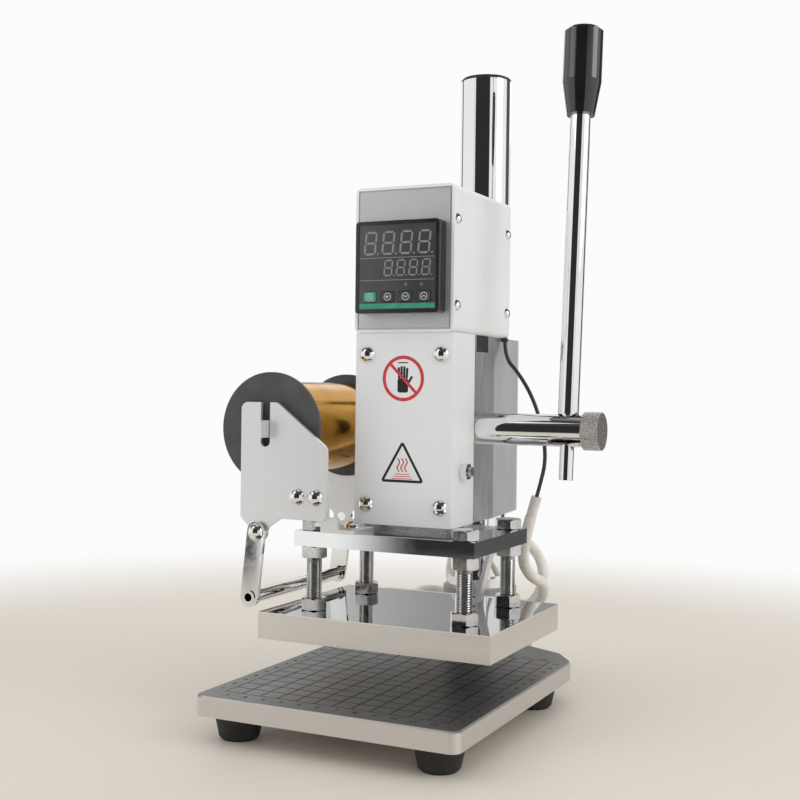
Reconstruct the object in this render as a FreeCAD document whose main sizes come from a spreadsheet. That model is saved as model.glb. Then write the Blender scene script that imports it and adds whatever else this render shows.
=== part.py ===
"""A bench hot foil stamper: a heated plate is pressed onto a gridded table by a rack and a hand lever.

Millimetres.  +X is to the operator's right, the operator stands at -Y and +Z is up.
The origin is on the bench, under the centre of the rectangular part of the base plate.
"""
import FreeCAD
import Part
import math
import os
import re
import Sketcher

Vector = FreeCAD.Vector
Rotation = FreeCAD.Rotation

SIZES = {
    # Base plate and its feet.
    "base_width": 140,
    "base_depth": 160,
    "base_thick": 10,
    "base_corner": 5,
    "base_bevel": 0.8,
    "shoulder_half": 58,
    "shoulder_y": 97,
    "waist_half": 36,
    "waist_y": 108,
    "tongue_half": 26,
    "tongue_y": 114,
    "tongue_end": 142,
    "foot_height": 13,
    "foot_top_radius": 12.5,
    "foot_tip_radius": 10,
    "foot_edge": 1.6,
    "foot_x": 54,
    "foot_y": 63,
    "foot_recess_radius": 5.5,
    "foot_recess": 5,
    # Column with its socket.
    "column_radius": 15,
    "column_y": 116.5,
    "column_top": 358,
    "column_sunk": 6,
    "cap_thick": 2,
    "cap_spigot_radius": 6,
    "cap_spigot": 4,
    "socket_radius": 22,
    "socket_tall": 32,
    "ring_radius": 19,
    "ring_tall": 6,
    # Head that slides on the column.
    "head_bottom": 101,
    "head_tall": 101.5,
    "head_half": 26,
    "head_front": 36,
    "head_flat_end": 70,
    "head_rear_radius": 21.5,
    "slide_clearance": 0.05,
    "clamp_low": 24,
    "clamp_high": 79,
    "clamp_radius": 3,
    "clamp_head_radius": 5,
    "clamp_head": 6,
    "plug_y": 43,
    "plug_long": 17,
    "plug_tall": 9,
    "plug_thick": 4,
    # Guide block in front of the head, with the gibs that take up the ram's play.
    "block_half": 28,
    "block_front": 6,
    "channel_front": 14,
    "channel_half": 15,
    "gib_set_in": 2,
    "gib_right_up": 29,
    "gib_left_up": 21,
    "gib_screw_y": 20,
    "gib_screw_radius": 2.5,
    "gib_screw_out": 6,
    "gib_nut_flats": 8,
    "gib_nut": 4,
    "block_screw_x": 21.4,
    "block_screw_low": 10.5,
    "block_screw_below": 11.5,
    "block_screw_grip": 10,
    "block_screw_head_radius": 4.5,
    "block_screw_head": 3,
    "screw_radius": 2.5,
    # Ram with its rack, and the pinion that drives it.
    "ram_half": 12,
    "ram_short": 3.5,
    "rack_half": 7,
    "rack_step": 0.25,
    "flange_half": 24,
    "flange_front": 10,
    "flange_back": 34,
    "flange_thick": 2.7,
    "shaft_y": 45,
    "shaft_up": 51,
    "tooth_module": 1.25,
    "tooth_count": 14,
    "rack_addendum": 1.0,
    "rack_dedendum": 1.55,
    "pressure_slope": 0.364,
    "backlash": 0.15,
    "rack_below": 3,
    "rack_above": 7,
    "chamber_half": 10,
    "chamber_radius": 11.5,
    "journal_radius": 6,
    "bush_radius": 8,
    "running_clearance": 0.03,
    "pin_radius": 1.5,
    "shaft_radius": 8.5,
    "shaft_end": 87,
    "shaft_spigot_radius": 5,
    "shaft_spigot": 6,
    "end_play": 0.3,
    "clip_thick": 1.4,
    "clip_radius": 8.5,
    "cap_radius": 10,
    "cap_length": 9,
    # Hand lever.
    "lever_x": 77.5,
    "lever_tilt": 5,
    "lever_radius": 5.5,
    "stub_radius": 3.75,
    "stub_end": 26,
    "knob_start": 168.8,
    "knob_length": 47,
    "knob_radius": 10.5,
    "knob_foot_radius": 7.5,
    "knob_taper": 18,
    "knob_dome": 1.6,
    "knob_thread_radius": 4,
    "knob_thread": 22,
    # Adaptor plate, heating plate and the four bolts that level them.
    "adaptor_width": 102,
    "adaptor_front": 17.5,
    "adaptor_depth": 75,
    "adaptor_thick": 8,
    "adaptor_top": 98,
    "heater_width": 130,
    "heater_front": 30,
    "heater_depth": 100,
    "heater_thick": 14,
    "plate_gap": 34,
    "bolt_x": 43,
    "bolt_front": 10,
    "bolt_back": 50,
    "bolt_radius": 4,
    "bolt_flats": 13,
    "hex_face_share": 0.95,
    "bolt_head": 5.5,
    "bolt_nut": 6.5,
    "bolt_depth": 10,
    "ram_screw_x": 7,
    "ram_screw_y": 24,
    "ram_screw_radius": 3,
    "ram_screw_head_radius": 6,
    "ram_screw_head": 3.3,
    "ram_screw_length": 22,
    "cartridge_radius": 4,
    "cartridge_length": 85,
    "cartridge_x": 34,
    "cover_half": 44,
    "cover_depth": 9,
    "cover_wall": 1.2,
    "cover_drop": 1,
    # Foil bracket: two side plates on angles that stand on the adaptor plate.
    "sheet_thick": 2,
    "side_front": 22,
    "side_gap": 92,
    "side_left": 81.8,
    "side_right": 29.7,
    "side_top": 165,
    "side_bottom": 104,
    "side_slope_x": 59.7,
    "side_slope_z": 142,
    "side_corner": 4,
    "ear_radius": 5.4,
    "ear_run": 57,
    "ear_fillet": 3.5,
    "pivot_x": 70.7,
    "pivot_z": 96.5,
    "slot_half": 2.8,
    "slot_bottom": 141.5,
    "angle_left": 52,
    "angle_tall": 26,
    "front_foot_x": 34,
    "front_foot_half": 10,
    "front_foot_end": 2,
    "front_neck_wide": 10,
    "rear_foot_x": 35,
    "rear_foot_wide": 7.5,
    "rear_foot_end": 44,
    "bracket_screw_x": 47.2,
    "bracket_screw_gap": 10.7,
    "bracket_screw_z": 116,
    "bracket_screw_radius": 2,
    "dome_radius": 4.5,
    "dome_rise": 3,
    "foot_screw_dome": 3.5,
    "foot_screw_rise": 2.4,
    # Foil roll and its spindle.
    "roll_x": 66.8,
    "roll_z": 151,
    "flange_radius": 30,
    "roll_flange_thick": 2,
    "foil_radius": 25,
    "core_radius": 12.7,
    "hub_radius": 9,
    "foil_wide": 82,
    "spindle_radius": 4,
    "blade_tall": 9,
    "blade_half": 2.5,
    "blade_out": 8,
    "part_gap": 0.3,
    # Swinging arms with the tube that guides the foil.
    "arm_half": 5.3,
    "arm_drop": 34.8,
    "arm_lean": 3.8,
    "tube_radius": 3.75,
    "tube_bore": 2.2,
    "tube_collar": 4.6,
    "tube_out": 0.7,
    # Stay between the plates, behind the right-hand bolts.
    "stay_x": 24,
    "stay_lean": 9,
    "stay_foot": 10,
    "stay_thick": 1.5,
    "stay_wide": 7,
    "stay_back": 57,
    # Control box on the head, and what is in it.
    "box_half": 28.5,
    "box_front": 5,
    "box_depth": 80.5,
    "box_tall": 76.5,
    "box_wall": 1.5,
    "box_corner": 3,
    "panel_thick": 1,
    "panel_step": 1,
    "panel_gap": 0.9,
    "tab_thick": 3,
    "tab_deep": 6,
    "tab_tall": 8,
    "box_screw_in": 4.5,
    "box_screw_low": 14,
    "box_screw_high": 58.5,
    "box_screw_radius": 1.5,
    "box_screw_dome": 3,
    "box_screw_rise": 2,
    "bezel_side": 48,
    "bezel_low": 9.5,
    "bezel_proud": 8.4,
    "bezel_corner": 2,
    "case_side": 44.5,
    "case_deep": 54,
    "window_inset": 2,
    "window_thick": 1.3,
    "window_recess": 0.3,
    "key_count": 4,
    "key_wide": 7,
    "key_tall": 5,
    "key_pitch": 10.4,
    "key_up": 8.6,
    "key_proud": 0.35,
    "key_deep": 3.2,
    "key_travel": 0.5,
    "board_half": 20,
    "board_long": 46,
    "board_thick": 1.6,
    "board_drop": 9,
    "spacer_radius": 2.5,
    "inlet_half": 15,
    "inlet_low": 12,
    "inlet_tall": 50,
    "inlet_flange": 2.5,
    "inlet_deep": 18,
    "socket_half": 12,
    "socket_high": 16.5,
    "socket_deep": 14,
    "socket_up": 6,
    "pin_half": 1,
    "pin_tall": 4,
    "pin_long": 11,
    "blade_pitch": 7,
    "blade_up": 5.2,
    "earth_up": 9.2,
    "rocker_half": 9,
    "rocker_tall": 13,
    "rocker_up": 29,
    "rocker_tilt": 7,
    "rocker_out": 3,
    "rocker_in": 5,
    "rocker_room": 2,
    "rocker_pin": 1.5,
    "rocker_pin_out": 1.5,
    # Leads.
    "lead_radius": 1.1,
    "gland_radius": 1.85,
    "gland_length": 2,
    "splice_radius": 2.9,
    "sleeve_radius": 3.25,
}

# Heights and faces that several pieces share, as expressions over the sheet.
BASE_TOP = "(foot_height + base_thick)"
SOCKET_TOP = f"({BASE_TOP} + socket_tall)"
HEAD_TOP = "(head_bottom + head_tall)"
RAM_TALL = "(head_tall - ram_short)"
SHAFT_Z = "(head_bottom + shaft_up)"
PITCH_RADIUS = "(tooth_module * tooth_count / 2)"
PITCH_Y = f"(shaft_y - {PITCH_RADIUS})"
ADAPTOR_LOW = "(adaptor_top - adaptor_thick)"
HEATER_TOP = f"({ADAPTOR_LOW} - plate_gap)"
HEATER_LOW = f"({HEATER_TOP} - heater_thick)"
HEATER_BACK = "(heater_depth - heater_front)"
SIDE_BACK = "(side_gap - side_front + sheet_thick)"
RAM_FRONT = "(channel_front + slide_clearance)"
RACK_ROOT = f"({PITCH_Y} - rack_dedendum - rack_step)"
BOX_TOP = f"({HEAD_TOP} + box_tall)"
BOX_BACK = "(box_front + box_depth)"
PANEL_LOW = f"({HEAD_TOP} + box_wall)"
PANEL_TOP = f"({BOX_TOP} - box_wall)"
PANEL_HALF = "(box_half - box_wall)"
BEZEL_LOW = f"({HEAD_TOP} + bezel_low)"
BEZEL_FRONT = "(box_front - bezel_proud)"
INLET_LOW = f"({HEAD_TOP} + inlet_low)"
WINDOW_BACK = f"({BEZEL_FRONT} + window_recess + window_thick)"
ROLL_MIDDLE = "(side_gap / 2 - side_front + sheet_thick)"

# The controller's lead drops from the box to its splice. Each point is an x, a y and
# the share of that drop still left.
CONTROLLER_ROUTE = [
    (26.6, 84, 1),
    (26.6, 84, 0.877),
    (35.5, 83.6, 0.7765),
    (44.5, 83, 0.62),
    (50.8, 82.4, 0.419),
    (52.8, 82, 0.2346),
    (50.15, 82.23, 0.1006),
    (47.5, 82.5, 0),
]
# The splice's two ends, and the route of the heater's lead, in the part's own frame.
SPLICE_TOP = (47.5, 82.5, 113)
SPLICE_END = (44.12, 82.84, 101.5)
HEATER_ROUTE = [
    (44.12, 82.84, 101.5),
    (37.62, 83.49, 79.4),
    (37, 103, 64),
    (38, 129, 57),
    (27, 149, 39),
    (0, 149, 26),
    (-27, 148, 36),
    (-36, 148.5, 61),
    (-20, 150, 84),
    (8, 152, 86),
    (29, 155, 66),
    (23, 157, 39),
    (-3, 156, 30),
    (-28, 147, 42),
    (-36, 124, 48),
    (-33, 100, 50),
    (-30, 77.8, 49),
]

# Turns that lay a local +Z along the named direction; "X" also keeps local X, Y as Y, Z.
TURNS = {
    "Z": Rotation(),
    "-Z": Rotation(Vector(1, 0, 0), 180),
    "X": Rotation(Vector(1, 1, 1), 120),
    "-X": Rotation(Vector(0, 1, 0), -90),
    "Y": Rotation(Vector(1, 0, 0), -90),
    "-Y": Rotation(Vector(1, 0, 0), 90),
}

OPPOSITE = {"X": "-X", "-X": "X", "Y": "-Y", "-Y": "Y", "Z": "-Z"}

doc = FreeCAD.newDocument("hot_foil_stamper")
sheet = doc.addObject("Spreadsheet::Sheet", "Sizes")
for row, (alias, size) in enumerate(SIZES.items(), start=1):
    sheet.set(f"A{row}", alias)
    sheet.set(f"B{row}", str(size))
    sheet.setAlias(f"B{row}", alias)
doc.recompute()

subparts = []


def bound(text):
    """The expression with each size's name pointing at its cell on the sheet."""
    def cell(word):
        return f"Sizes.{word.group()}" if word.group() in SIZES else word.group()
    return re.sub(r"[a-z][a-z_]*", cell, text)


def number(text):
    """What an expression over the sheet comes to."""
    return float(sheet.evalExpression(text))


def bind(item, name, text):
    """Tie one property of an object to an expression over the sheet."""
    item.setExpression(name, bound(text))


def place(item, at, along="Z"):
    """Lay an object's origin at three expressions, its Z along a direction."""
    item.Placement = FreeCAD.Placement(Vector(), TURNS[along])
    for axis, text in zip("xyz", at):
        bind(item, f"Placement.Base.{axis}", text)
    return item


def subpart(item):
    """Count an object as a finished sub-part; its label names its file."""
    item.Label = item.Name
    subparts.append(item)
    return item


def box(name, low, size):
    """A block from its low corner and its three lengths."""
    item = doc.addObject("Part::Box", name)
    for side, text in zip(("Length", "Width", "Height"), size):
        bind(item, side, text)
    return place(item, low)


def rod(name, radius, length, at, along="Z"):
    """A round bar that starts at a point and runs along a direction."""
    item = doc.addObject("Part::Cylinder", name)
    bind(item, "Radius", radius)
    bind(item, "Height", length)
    return place(item, at, along)


def dome(name, radius, rise, at, along="Z"):
    """A low domed screw head: the cap of a sphere, its flat face at a point."""
    item = doc.addObject("Part::Sphere", name)
    ball = f"(({radius}) ^ 2 + ({rise}) ^ 2) / (2 * ({rise}))"
    bind(item, "Radius", ball)
    bind(item, "Angle1", f"asin(1 - ({rise}) / ({ball}))")
    axis = TURNS[along].multVec(Vector(0, 0, 1))
    sunk = [f"{text} - ({ball} - ({rise})) * {part:.0f}" for text, part in zip(at, axis)]
    return place(item, sunk, along)


def hexagon(name, flats, height, at, along="Z"):
    """A hexagonal bar, given the distance across its flats."""
    item = doc.addObject("Part::Prism", name)
    item.Polygon = 6
    bind(item, "Circumradius", f"({flats}) / 2 / cos(30 deg)")
    bind(item, "Height", height)
    return place(item, at, along)


def join(name, pieces):
    """One solid from pieces that touch or overlap."""
    item = doc.addObject("Part::MultiFuse", name)
    item.Shapes = pieces
    item.Refine = True
    return item


def cut(name, base, tools):
    """A piece with some material taken away."""
    item = doc.addObject("Part::Cut", name)
    item.Base = base
    item.Tool = tools[0] if len(tools) == 1 else join(f"{name}_tools", tools)
    item.Refine = True
    return item


def group(name, pieces):
    """Separate identical solids that share one sub-part."""
    item = doc.addObject("Part::Compound", name)
    item.Links = pieces
    return item


def origin_plane(body, role):
    """One of a body's own origin planes."""
    return next(plane for plane in body.Origin.OriginFeatures if plane.Role == role)


def sketch_on(body, name, role):
    """A sketch attached to one of its body's origin planes."""
    sketch = body.newObject("Sketcher::SketchObject", name)
    sketch.AttachmentSupport = [(origin_plane(body, role), "")]
    sketch.MapMode = "FlatFace"
    return sketch


def pin_point(sketch, edge, vertex, point):
    """Hold one point of a sketch at two expressions from the sketch's origin."""
    for kind, text in zip(("DistanceX", "DistanceY"), point):
        held = Sketcher.Constraint(kind, -1, 1, edge, vertex, number(text))
        index = sketch.addConstraint(held)
        sketch.setExpression(f"Constraints[{index}]", bound(text))


def draw_outline(sketch, corners):
    """A closed outline of straight lines, each corner held by its expressions."""
    points = [Vector(number(x), number(y), 0) for x, y in corners]
    first = sketch.GeometryCount
    for start, end in zip(points, points[1:] + points[:1]):
        sketch.addGeometry(Part.LineSegment(start, end))
    for index, corner in enumerate(corners):
        following = first + (index + 1) % len(corners)
        sketch.addConstraint(Sketcher.Constraint("Coincident", first + index, 2, following, 1))
        pin_point(sketch, first + index, 1, corner)


def draw_circle(sketch, x, y, radius):
    """A circle held by the expressions for its centre and radius."""
    centre = Vector(number(x), number(y), 0)
    edge = sketch.addGeometry(Part.Circle(centre, Vector(0, 0, 1), number(radius)))
    pin_point(sketch, edge, 3, (x, y))
    index = sketch.addConstraint(Sketcher.Constraint("Radius", edge, number(radius)))
    sketch.setExpression(f"Constraints[{index}]", bound(radius))


def standing_edges(shape, corners):
    """Names of the edges that stand on the given corners of an outline."""
    places = [Vector(number(x), number(y), 0) for x, y in corners]
    names = []
    for index, edge in enumerate(shape.Edges, start=1):
        ends = [Vector(vertex.X, vertex.Y, 0) for vertex in edge.Vertexes]
        for spot in places:
            if len(ends) == 2 and all(end.distanceToPoint(spot) < 1e-5 for end in ends):
                names.append(f"Edge{index}")
    return names


def prism(name, corners, thickness, at, along="Z", holes=(), rounds=None):
    """A plate: an outline with round holes, padded, some of its corners rounded."""
    body = doc.addObject("PartDesign::Body", name)
    sketch = sketch_on(body, f"{name}_outline", "XY_Plane")
    draw_outline(sketch, corners)
    for hole in holes:
        draw_circle(sketch, *hole)
    pad = body.newObject("PartDesign::Pad", f"{name}_pad")
    pad.Profile = sketch
    bind(pad, "Length", thickness)
    doc.recompute()
    base = pad
    for step, (radius, indices) in enumerate((rounds or {}).items()):
        fillet = body.newObject("PartDesign::Fillet", f"{name}_round{step}")
        picked = [corners[index] for index in indices]
        fillet.Base = (base, standing_edges(base.Shape, picked))
        bind(fillet, "Radius", radius)
        doc.recompute()
        base = fillet
    sketch.Visibility = False
    return place(body, at, along)


def turned(name, profile, at, along="Z"):
    """A turned piece from its half section: corners as radius and height."""
    body = doc.addObject("PartDesign::Body", name)
    sketch = sketch_on(body, f"{name}_section", "XZ_Plane")
    draw_outline(sketch, profile)
    turn = body.newObject("PartDesign::Revolution", f"{name}_turn")
    turn.Profile = sketch
    turn.ReferenceAxis = (sketch, ["V_Axis"])
    turn.Angle = 360
    return place(body, at, along)


def tube(name, outer, inner, length, at, along="Z"):
    """A round tube or ring."""
    profile = [(inner, "0"), (outer, "0"), (outer, length), (inner, length)]
    return turned(name, profile, at, along)


def dome_screw(name, radius, rise, shank, length, at, along):
    """A dome-headed screw; its head sits on a face and its shank runs back into it."""
    head = dome(f"{name}_dome", radius, rise, at, along)
    bar = rod(f"{name}_shank", shank, length, at, OPPOSITE[along])
    return join(name, [head, bar])


# ---------------------------------------------------------------- the stand

def feet_places():
    """The four corners where the feet are."""
    return [(f"{x} * foot_x", f"{y} * foot_y") for x in (-1, 1) for y in (-1, 1)]


def make_base_plate():
    """A thick plate with a tongue at the back that carries the column."""
    right = [
        ("base_width / 2", "-base_depth / 2"),
        ("base_width / 2", "base_depth / 2"),
        ("shoulder_half", "shoulder_y"),
        ("waist_half", "waist_y"),
        ("tongue_half", "tongue_y"),
        ("tongue_half", "tongue_end"),
    ]
    left = [(f"-{x}", y) for x, y in reversed(right)]
    rounds = {"base_corner": [0, 5, 6, 11], "base_corner * 2": [1, 10]}
    plate = prism("base_blank", right + left, "base_thick", ("0", "0", "foot_height"), rounds=rounds)
    tip = plate.Tip
    faces = tip.Shape.Faces
    top = max(range(len(faces)), key=lambda index: faces[index].CenterOfMass.z)
    bevel = plate.newObject("PartDesign::Chamfer", "base_blank_bevel")
    bevel.Base = (tip, [f"Face{top + 1}"])
    bind(bevel, "Size", "base_bevel")
    holes = [rod("base_bore", "column_radius", "base_thick", ("0", "column_y", f"{BASE_TOP} - column_sunk"))]
    for index, (x, y) in enumerate(feet_places()):
        holes.append(rod(f"base_tap{index}", "screw_radius", "base_thick * 0.7", (x, y, "foot_height")))
    subpart(cut("base_plate", plate, holes))


def make_feet():
    """Tapered rubber feet, each recessed for the screw that holds it."""
    profile = [
        ("screw_radius", "foot_recess"),
        ("foot_recess_radius", "foot_recess"),
        ("foot_recess_radius", "0"),
        ("foot_tip_radius - foot_edge", "0"),
        ("foot_tip_radius", "foot_edge"),
        ("foot_top_radius", "foot_height"),
        ("screw_radius", "foot_height"),
    ]
    feet = [turned(f"foot{i}", profile, (x, y, "0")) for i, (x, y) in enumerate(feet_places())]
    subpart(group("feet", feet))
    screws = []
    for index, (x, y) in enumerate(feet_places()):
        head = rod(f"foot_screw{index}_head", "block_screw_head_radius", "block_screw_head",
                   (x, y, "foot_recess - block_screw_head"))
        shank = rod(f"foot_screw{index}_shank", "screw_radius",
                    "foot_height - foot_recess + base_thick * 0.7", (x, y, "foot_recess"))
        screws.append(join(f"foot_screw{index}", [head, shank]))
    subpart(group("foot_screws", screws))


def make_column():
    """A ground column sunk in the base, with its socket, trim ring and top cap."""
    bottom = f"({BASE_TOP} - column_sunk)"
    bar = rod("column_bar", "column_radius", f"column_top - {bottom}", ("0", "column_y", bottom))
    bore = rod("column_bore", "cap_spigot_radius", "cap_spigot", ("0", "column_y", "column_top - cap_spigot"))
    subpart(cut("column", bar, [bore]))
    subpart(tube("column_socket", "socket_radius", "column_radius", "socket_tall",
                 ("0", "column_y", BASE_TOP)))
    subpart(tube("socket_ring", "ring_radius", "column_radius", "ring_tall",
                 ("0", "column_y", SOCKET_TOP)))
    profile = [
        ("0", "-cap_spigot"),
        ("cap_spigot_radius", "-cap_spigot"),
        ("cap_spigot_radius", "0"),
        ("column_radius", "0"),
        ("column_radius", "cap_thick * 0.5"),
        ("column_radius - cap_thick * 0.5", "cap_thick"),
        ("0", "cap_thick"),
    ]
    subpart(turned("column_cap", profile, ("0", "column_y", "column_top")))


# ---------------------------------------------------------------- the head

def block_screw_places():
    """Where the four screws hold the guide block to the head."""
    heights = ("block_screw_low", "head_tall - block_screw_below")
    return [(f"{x} * block_screw_x", f"head_bottom + {z}") for x in (-1, 1) for z in heights]


def head_touch():
    """Where the head's tapering cheek runs in tangent to the round back about the column."""
    deep = "(column_y - head_flat_end)"
    span = f"(head_half ^ 2 + {deep} ^ 2)"
    reach = f"sqrt({span} - head_rear_radius ^ 2)"
    touch_x = f"((head_rear_radius ^ 2 * head_half + head_rear_radius * {reach} * {deep}) / {span})"
    inward = f"((head_rear_radius * {reach} * head_half - head_rear_radius ^ 2 * {deep}) / {span})"
    return touch_x, f"(column_y + {inward})"


def make_head_body():
    """The extruded head: bored for the column, the shaft's bushes and the pinion."""
    touch = head_touch()
    right = [("head_half", "head_front"), ("head_half", "head_flat_end"), touch]
    outline = right + [(f"-{x}", y) for x, y in reversed(right)]
    blank = prism("head_blank", outline, "head_tall", ("0", "0", "head_bottom"))
    back = doc.addObject("Part::Common", "head_back")
    back.Base = rod("head_round", "head_rear_radius", "head_tall", ("0", "column_y", "head_bottom"))
    back.Tool = box("head_behind", ("-head_rear_radius", touch[1], "head_bottom"),
                    ("2 * head_rear_radius", "2 * head_rear_radius", "head_tall"))
    solid = join("head_solid", [blank, back])
    tools = [
        rod("head_bore", "column_radius + slide_clearance", "head_tall", ("0", "column_y", "head_bottom")),
        rod("head_bush_bore", "bush_radius", "2 * head_half", ("-head_half", "shaft_y", SHAFT_Z), "X"),
        rod("head_chamber", "chamber_radius", "2 * chamber_half", ("-chamber_half", "shaft_y", SHAFT_Z), "X"),
        box("head_window", ("-chamber_half", "head_front", f"{SHAFT_Z} - chamber_radius"),
            ("2 * chamber_half", "shaft_y - head_front", "2 * chamber_radius")),
        box("head_groove", ("-rack_half - end_play * 3", "head_front", "head_bottom"),
            ("2 * (rack_half + end_play * 3)", f"{PITCH_Y} + rack_addendum + end_play * 3 - head_front",
             "head_tall")),
        box("head_notch", ("head_half - plug_thick", "plug_y", f"{HEAD_TOP} - plug_tall"),
            ("plug_thick", "plug_long", "plug_tall")),
    ]
    for index, height in enumerate(("clamp_low", "clamp_high")):
        tools.append(rod(f"head_clamp{index}", "clamp_radius", "head_rear_radius",
                         ("0", "column_y", f"head_bottom + {height}"), "Y"))
    for index, (x, z) in enumerate(block_screw_places()):
        tools.append(rod(f"head_tap{index}", "screw_radius", "block_screw_grip", (x, "head_front", z), "Y"))
    subpart(cut("head_body", solid, tools))


def make_head_fittings():
    """Clamp screws that lock the head on the column, and the plug in its side."""
    screws = []
    for index, height in enumerate(("clamp_low", "clamp_high")):
        z = f"head_bottom + {height}"
        reach = "column_y + column_radius + part_gap"
        shank = rod(f"clamp{index}_shank", "clamp_radius", "head_rear_radius - column_radius - part_gap",
                    ("0", reach, z), "Y")
        head = rod(f"clamp{index}_head", "clamp_head_radius", "clamp_head",
                   ("0", "column_y + head_rear_radius", z), "Y")
        recess = hexagon(f"clamp{index}_key", "clamp_radius * 1.7", "clamp_head * 0.6",
                         ("0", "column_y + head_rear_radius + clamp_head * 0.4", z), "Y")
        screws.append(cut(f"clamp{index}", join(f"clamp{index}_solid", [shank, head]), [recess]))
    subpart(group("clamp_screws", screws))
    subpart(box("side_plug", ("head_half - plug_thick", "plug_y", f"{HEAD_TOP} - plug_tall"),
                ("plug_thick", "plug_long", "plug_tall")))


def make_guide_block():
    """The front block: a channel for the ram, closed at the back by the head."""
    blank = box("block_blank", ("-block_half", "block_front", "head_bottom"),
                ("2 * block_half", "head_front - block_front", "head_tall"))
    tools = [box("block_channel", ("-channel_half", "channel_front", "head_bottom"),
                 ("2 * channel_half", "head_front - channel_front", "head_tall"))]
    for index, (x, z) in enumerate(block_screw_places()):
        tools.append(rod(f"block_hole{index}", "screw_radius", "head_front - block_front",
                         (x, "block_front", z), "Y"))
    for name, along, up in (("right", "X", "gib_right_up"), ("left", "-X", "gib_left_up")):
        tools.append(rod(f"block_tap_{name}", "gib_screw_radius", "block_half",
                         ("0", "gib_screw_y", f"head_bottom + {up}"), along))
    subpart(cut("guide_block", blank, tools))
    screws = []
    for index, (x, z) in enumerate(block_screw_places()):
        screws.append(dome_screw(f"block_screw{index}", "block_screw_head_radius", "block_screw_head",
                                 "screw_radius", "head_front - block_front + block_screw_grip",
                                 (x, "block_front", z), "-Y"))
    subpart(group("block_screws", screws))


def make_gibs():
    """Brass strips beside the ram, each pushed in by a screw with a lock nut."""
    strips, screws, nuts = [], [], []
    face = "(ram_half + slide_clearance)"
    sides = (("right", 1, "X", "gib_right_up"), ("left", -1, "-X", "gib_left_up"))
    for name, sign, along, up in sides:
        low = face if sign > 0 else "-channel_half"
        strips.append(box(f"gib_{name}", (low, "channel_front", "head_bottom + gib_set_in"),
                          (f"channel_half - {face}", "head_front - channel_front",
                           "head_tall - 2 * gib_set_in")))
        z = f"head_bottom + {up}"
        screws.append(rod(f"gib_screw_{name}", "gib_screw_radius",
                          "block_half - channel_half + gib_screw_out",
                          (f"{sign} * channel_half", "gib_screw_y", z), along))
        nut = hexagon(f"gib_nut_{name}_blank", "gib_nut_flats", "gib_nut",
                      (f"{sign} * block_half", "gib_screw_y", z), along)
        hole = rod(f"gib_nut_{name}_hole", "gib_screw_radius", "gib_nut",
                   (f"{sign} * block_half", "gib_screw_y", z), along)
        nuts.append(cut(f"gib_nut_{name}", nut, [hole]))
    subpart(group("gib_strips", strips))
    subpart(group("gib_screws", screws))
    subpart(group("gib_nuts", nuts))


def make_bushes():
    """Bronze bushes in which the pinion shaft turns."""
    bore = "journal_radius + running_clearance"
    long = "head_half - chamber_half"
    right = tube("bush_right", "bush_radius", bore, long, ("chamber_half", "shaft_y", SHAFT_Z), "X")
    left = tube("bush_left", "bush_radius", bore, long, ("-head_half", "shaft_y", SHAFT_Z), "X")
    subpart(group("shaft_bushes", [right, left]))


# ---------------------------------------------------------------- shaft and lever

def make_shaft():
    """The pinion shaft: a journal through the head and a thick end that holds the lever."""
    left = "(-head_half - end_play * 2 - clip_thick)"
    shoulder = "(head_half + end_play)"
    profile = [
        ("0", left),
        ("journal_radius", left),
        ("journal_radius", shoulder),
        ("shaft_radius", shoulder),
        ("shaft_radius", "shaft_end"),
        ("shaft_spigot_radius", "shaft_end"),
        ("shaft_spigot_radius", "shaft_end + shaft_spigot"),
        ("0", "shaft_end + shaft_spigot"),
    ]
    blank = turned("shaft_blank", profile, ("0", "shaft_y", SHAFT_Z), "X")
    cross = rod("shaft_cross_hole", "stub_radius", "4 * shaft_radius", ("lever_x", "shaft_y", SHAFT_Z))
    lean_along_lever(cross, "-2 * shaft_radius")
    pin = rod("shaft_pin_hole", "pin_radius", "2 * journal_radius",
              ("0", "shaft_y", f"{SHAFT_Z} - journal_radius"))
    subpart(cut("pinion_shaft", blank, [cross, pin]))
    subpart(tube("shaft_clip", "clip_radius", "journal_radius", "clip_thick",
                 ("-head_half - end_play - clip_thick", "shaft_y", SHAFT_Z), "X"))
    cap = rod("cap_blank", "cap_radius", "cap_length", ("shaft_end", "shaft_y", SHAFT_Z), "X")
    bore = rod("cap_bore", "shaft_spigot_radius", "shaft_spigot", ("shaft_end", "shaft_y", SHAFT_Z), "X")
    subpart(cut("shaft_end_cap", cap, [bore]))


def lean_along_lever(item, start):
    """Lay an object's Z along the lever, starting some way from the shaft's axis."""
    item.Placement = FreeCAD.Placement(Vector(), Rotation(Vector(-1, 0, 0), number("lever_tilt")))
    bind(item, "Placement.Rotation.Angle", "lever_tilt")
    bind(item, "Placement.Base.x", "lever_x")
    bind(item, "Placement.Base.y", f"shaft_y + ({start}) * sin(lever_tilt * 1 deg)")
    bind(item, "Placement.Base.z", f"{SHAFT_Z} + ({start}) * cos(lever_tilt * 1 deg)")
    return item


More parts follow.
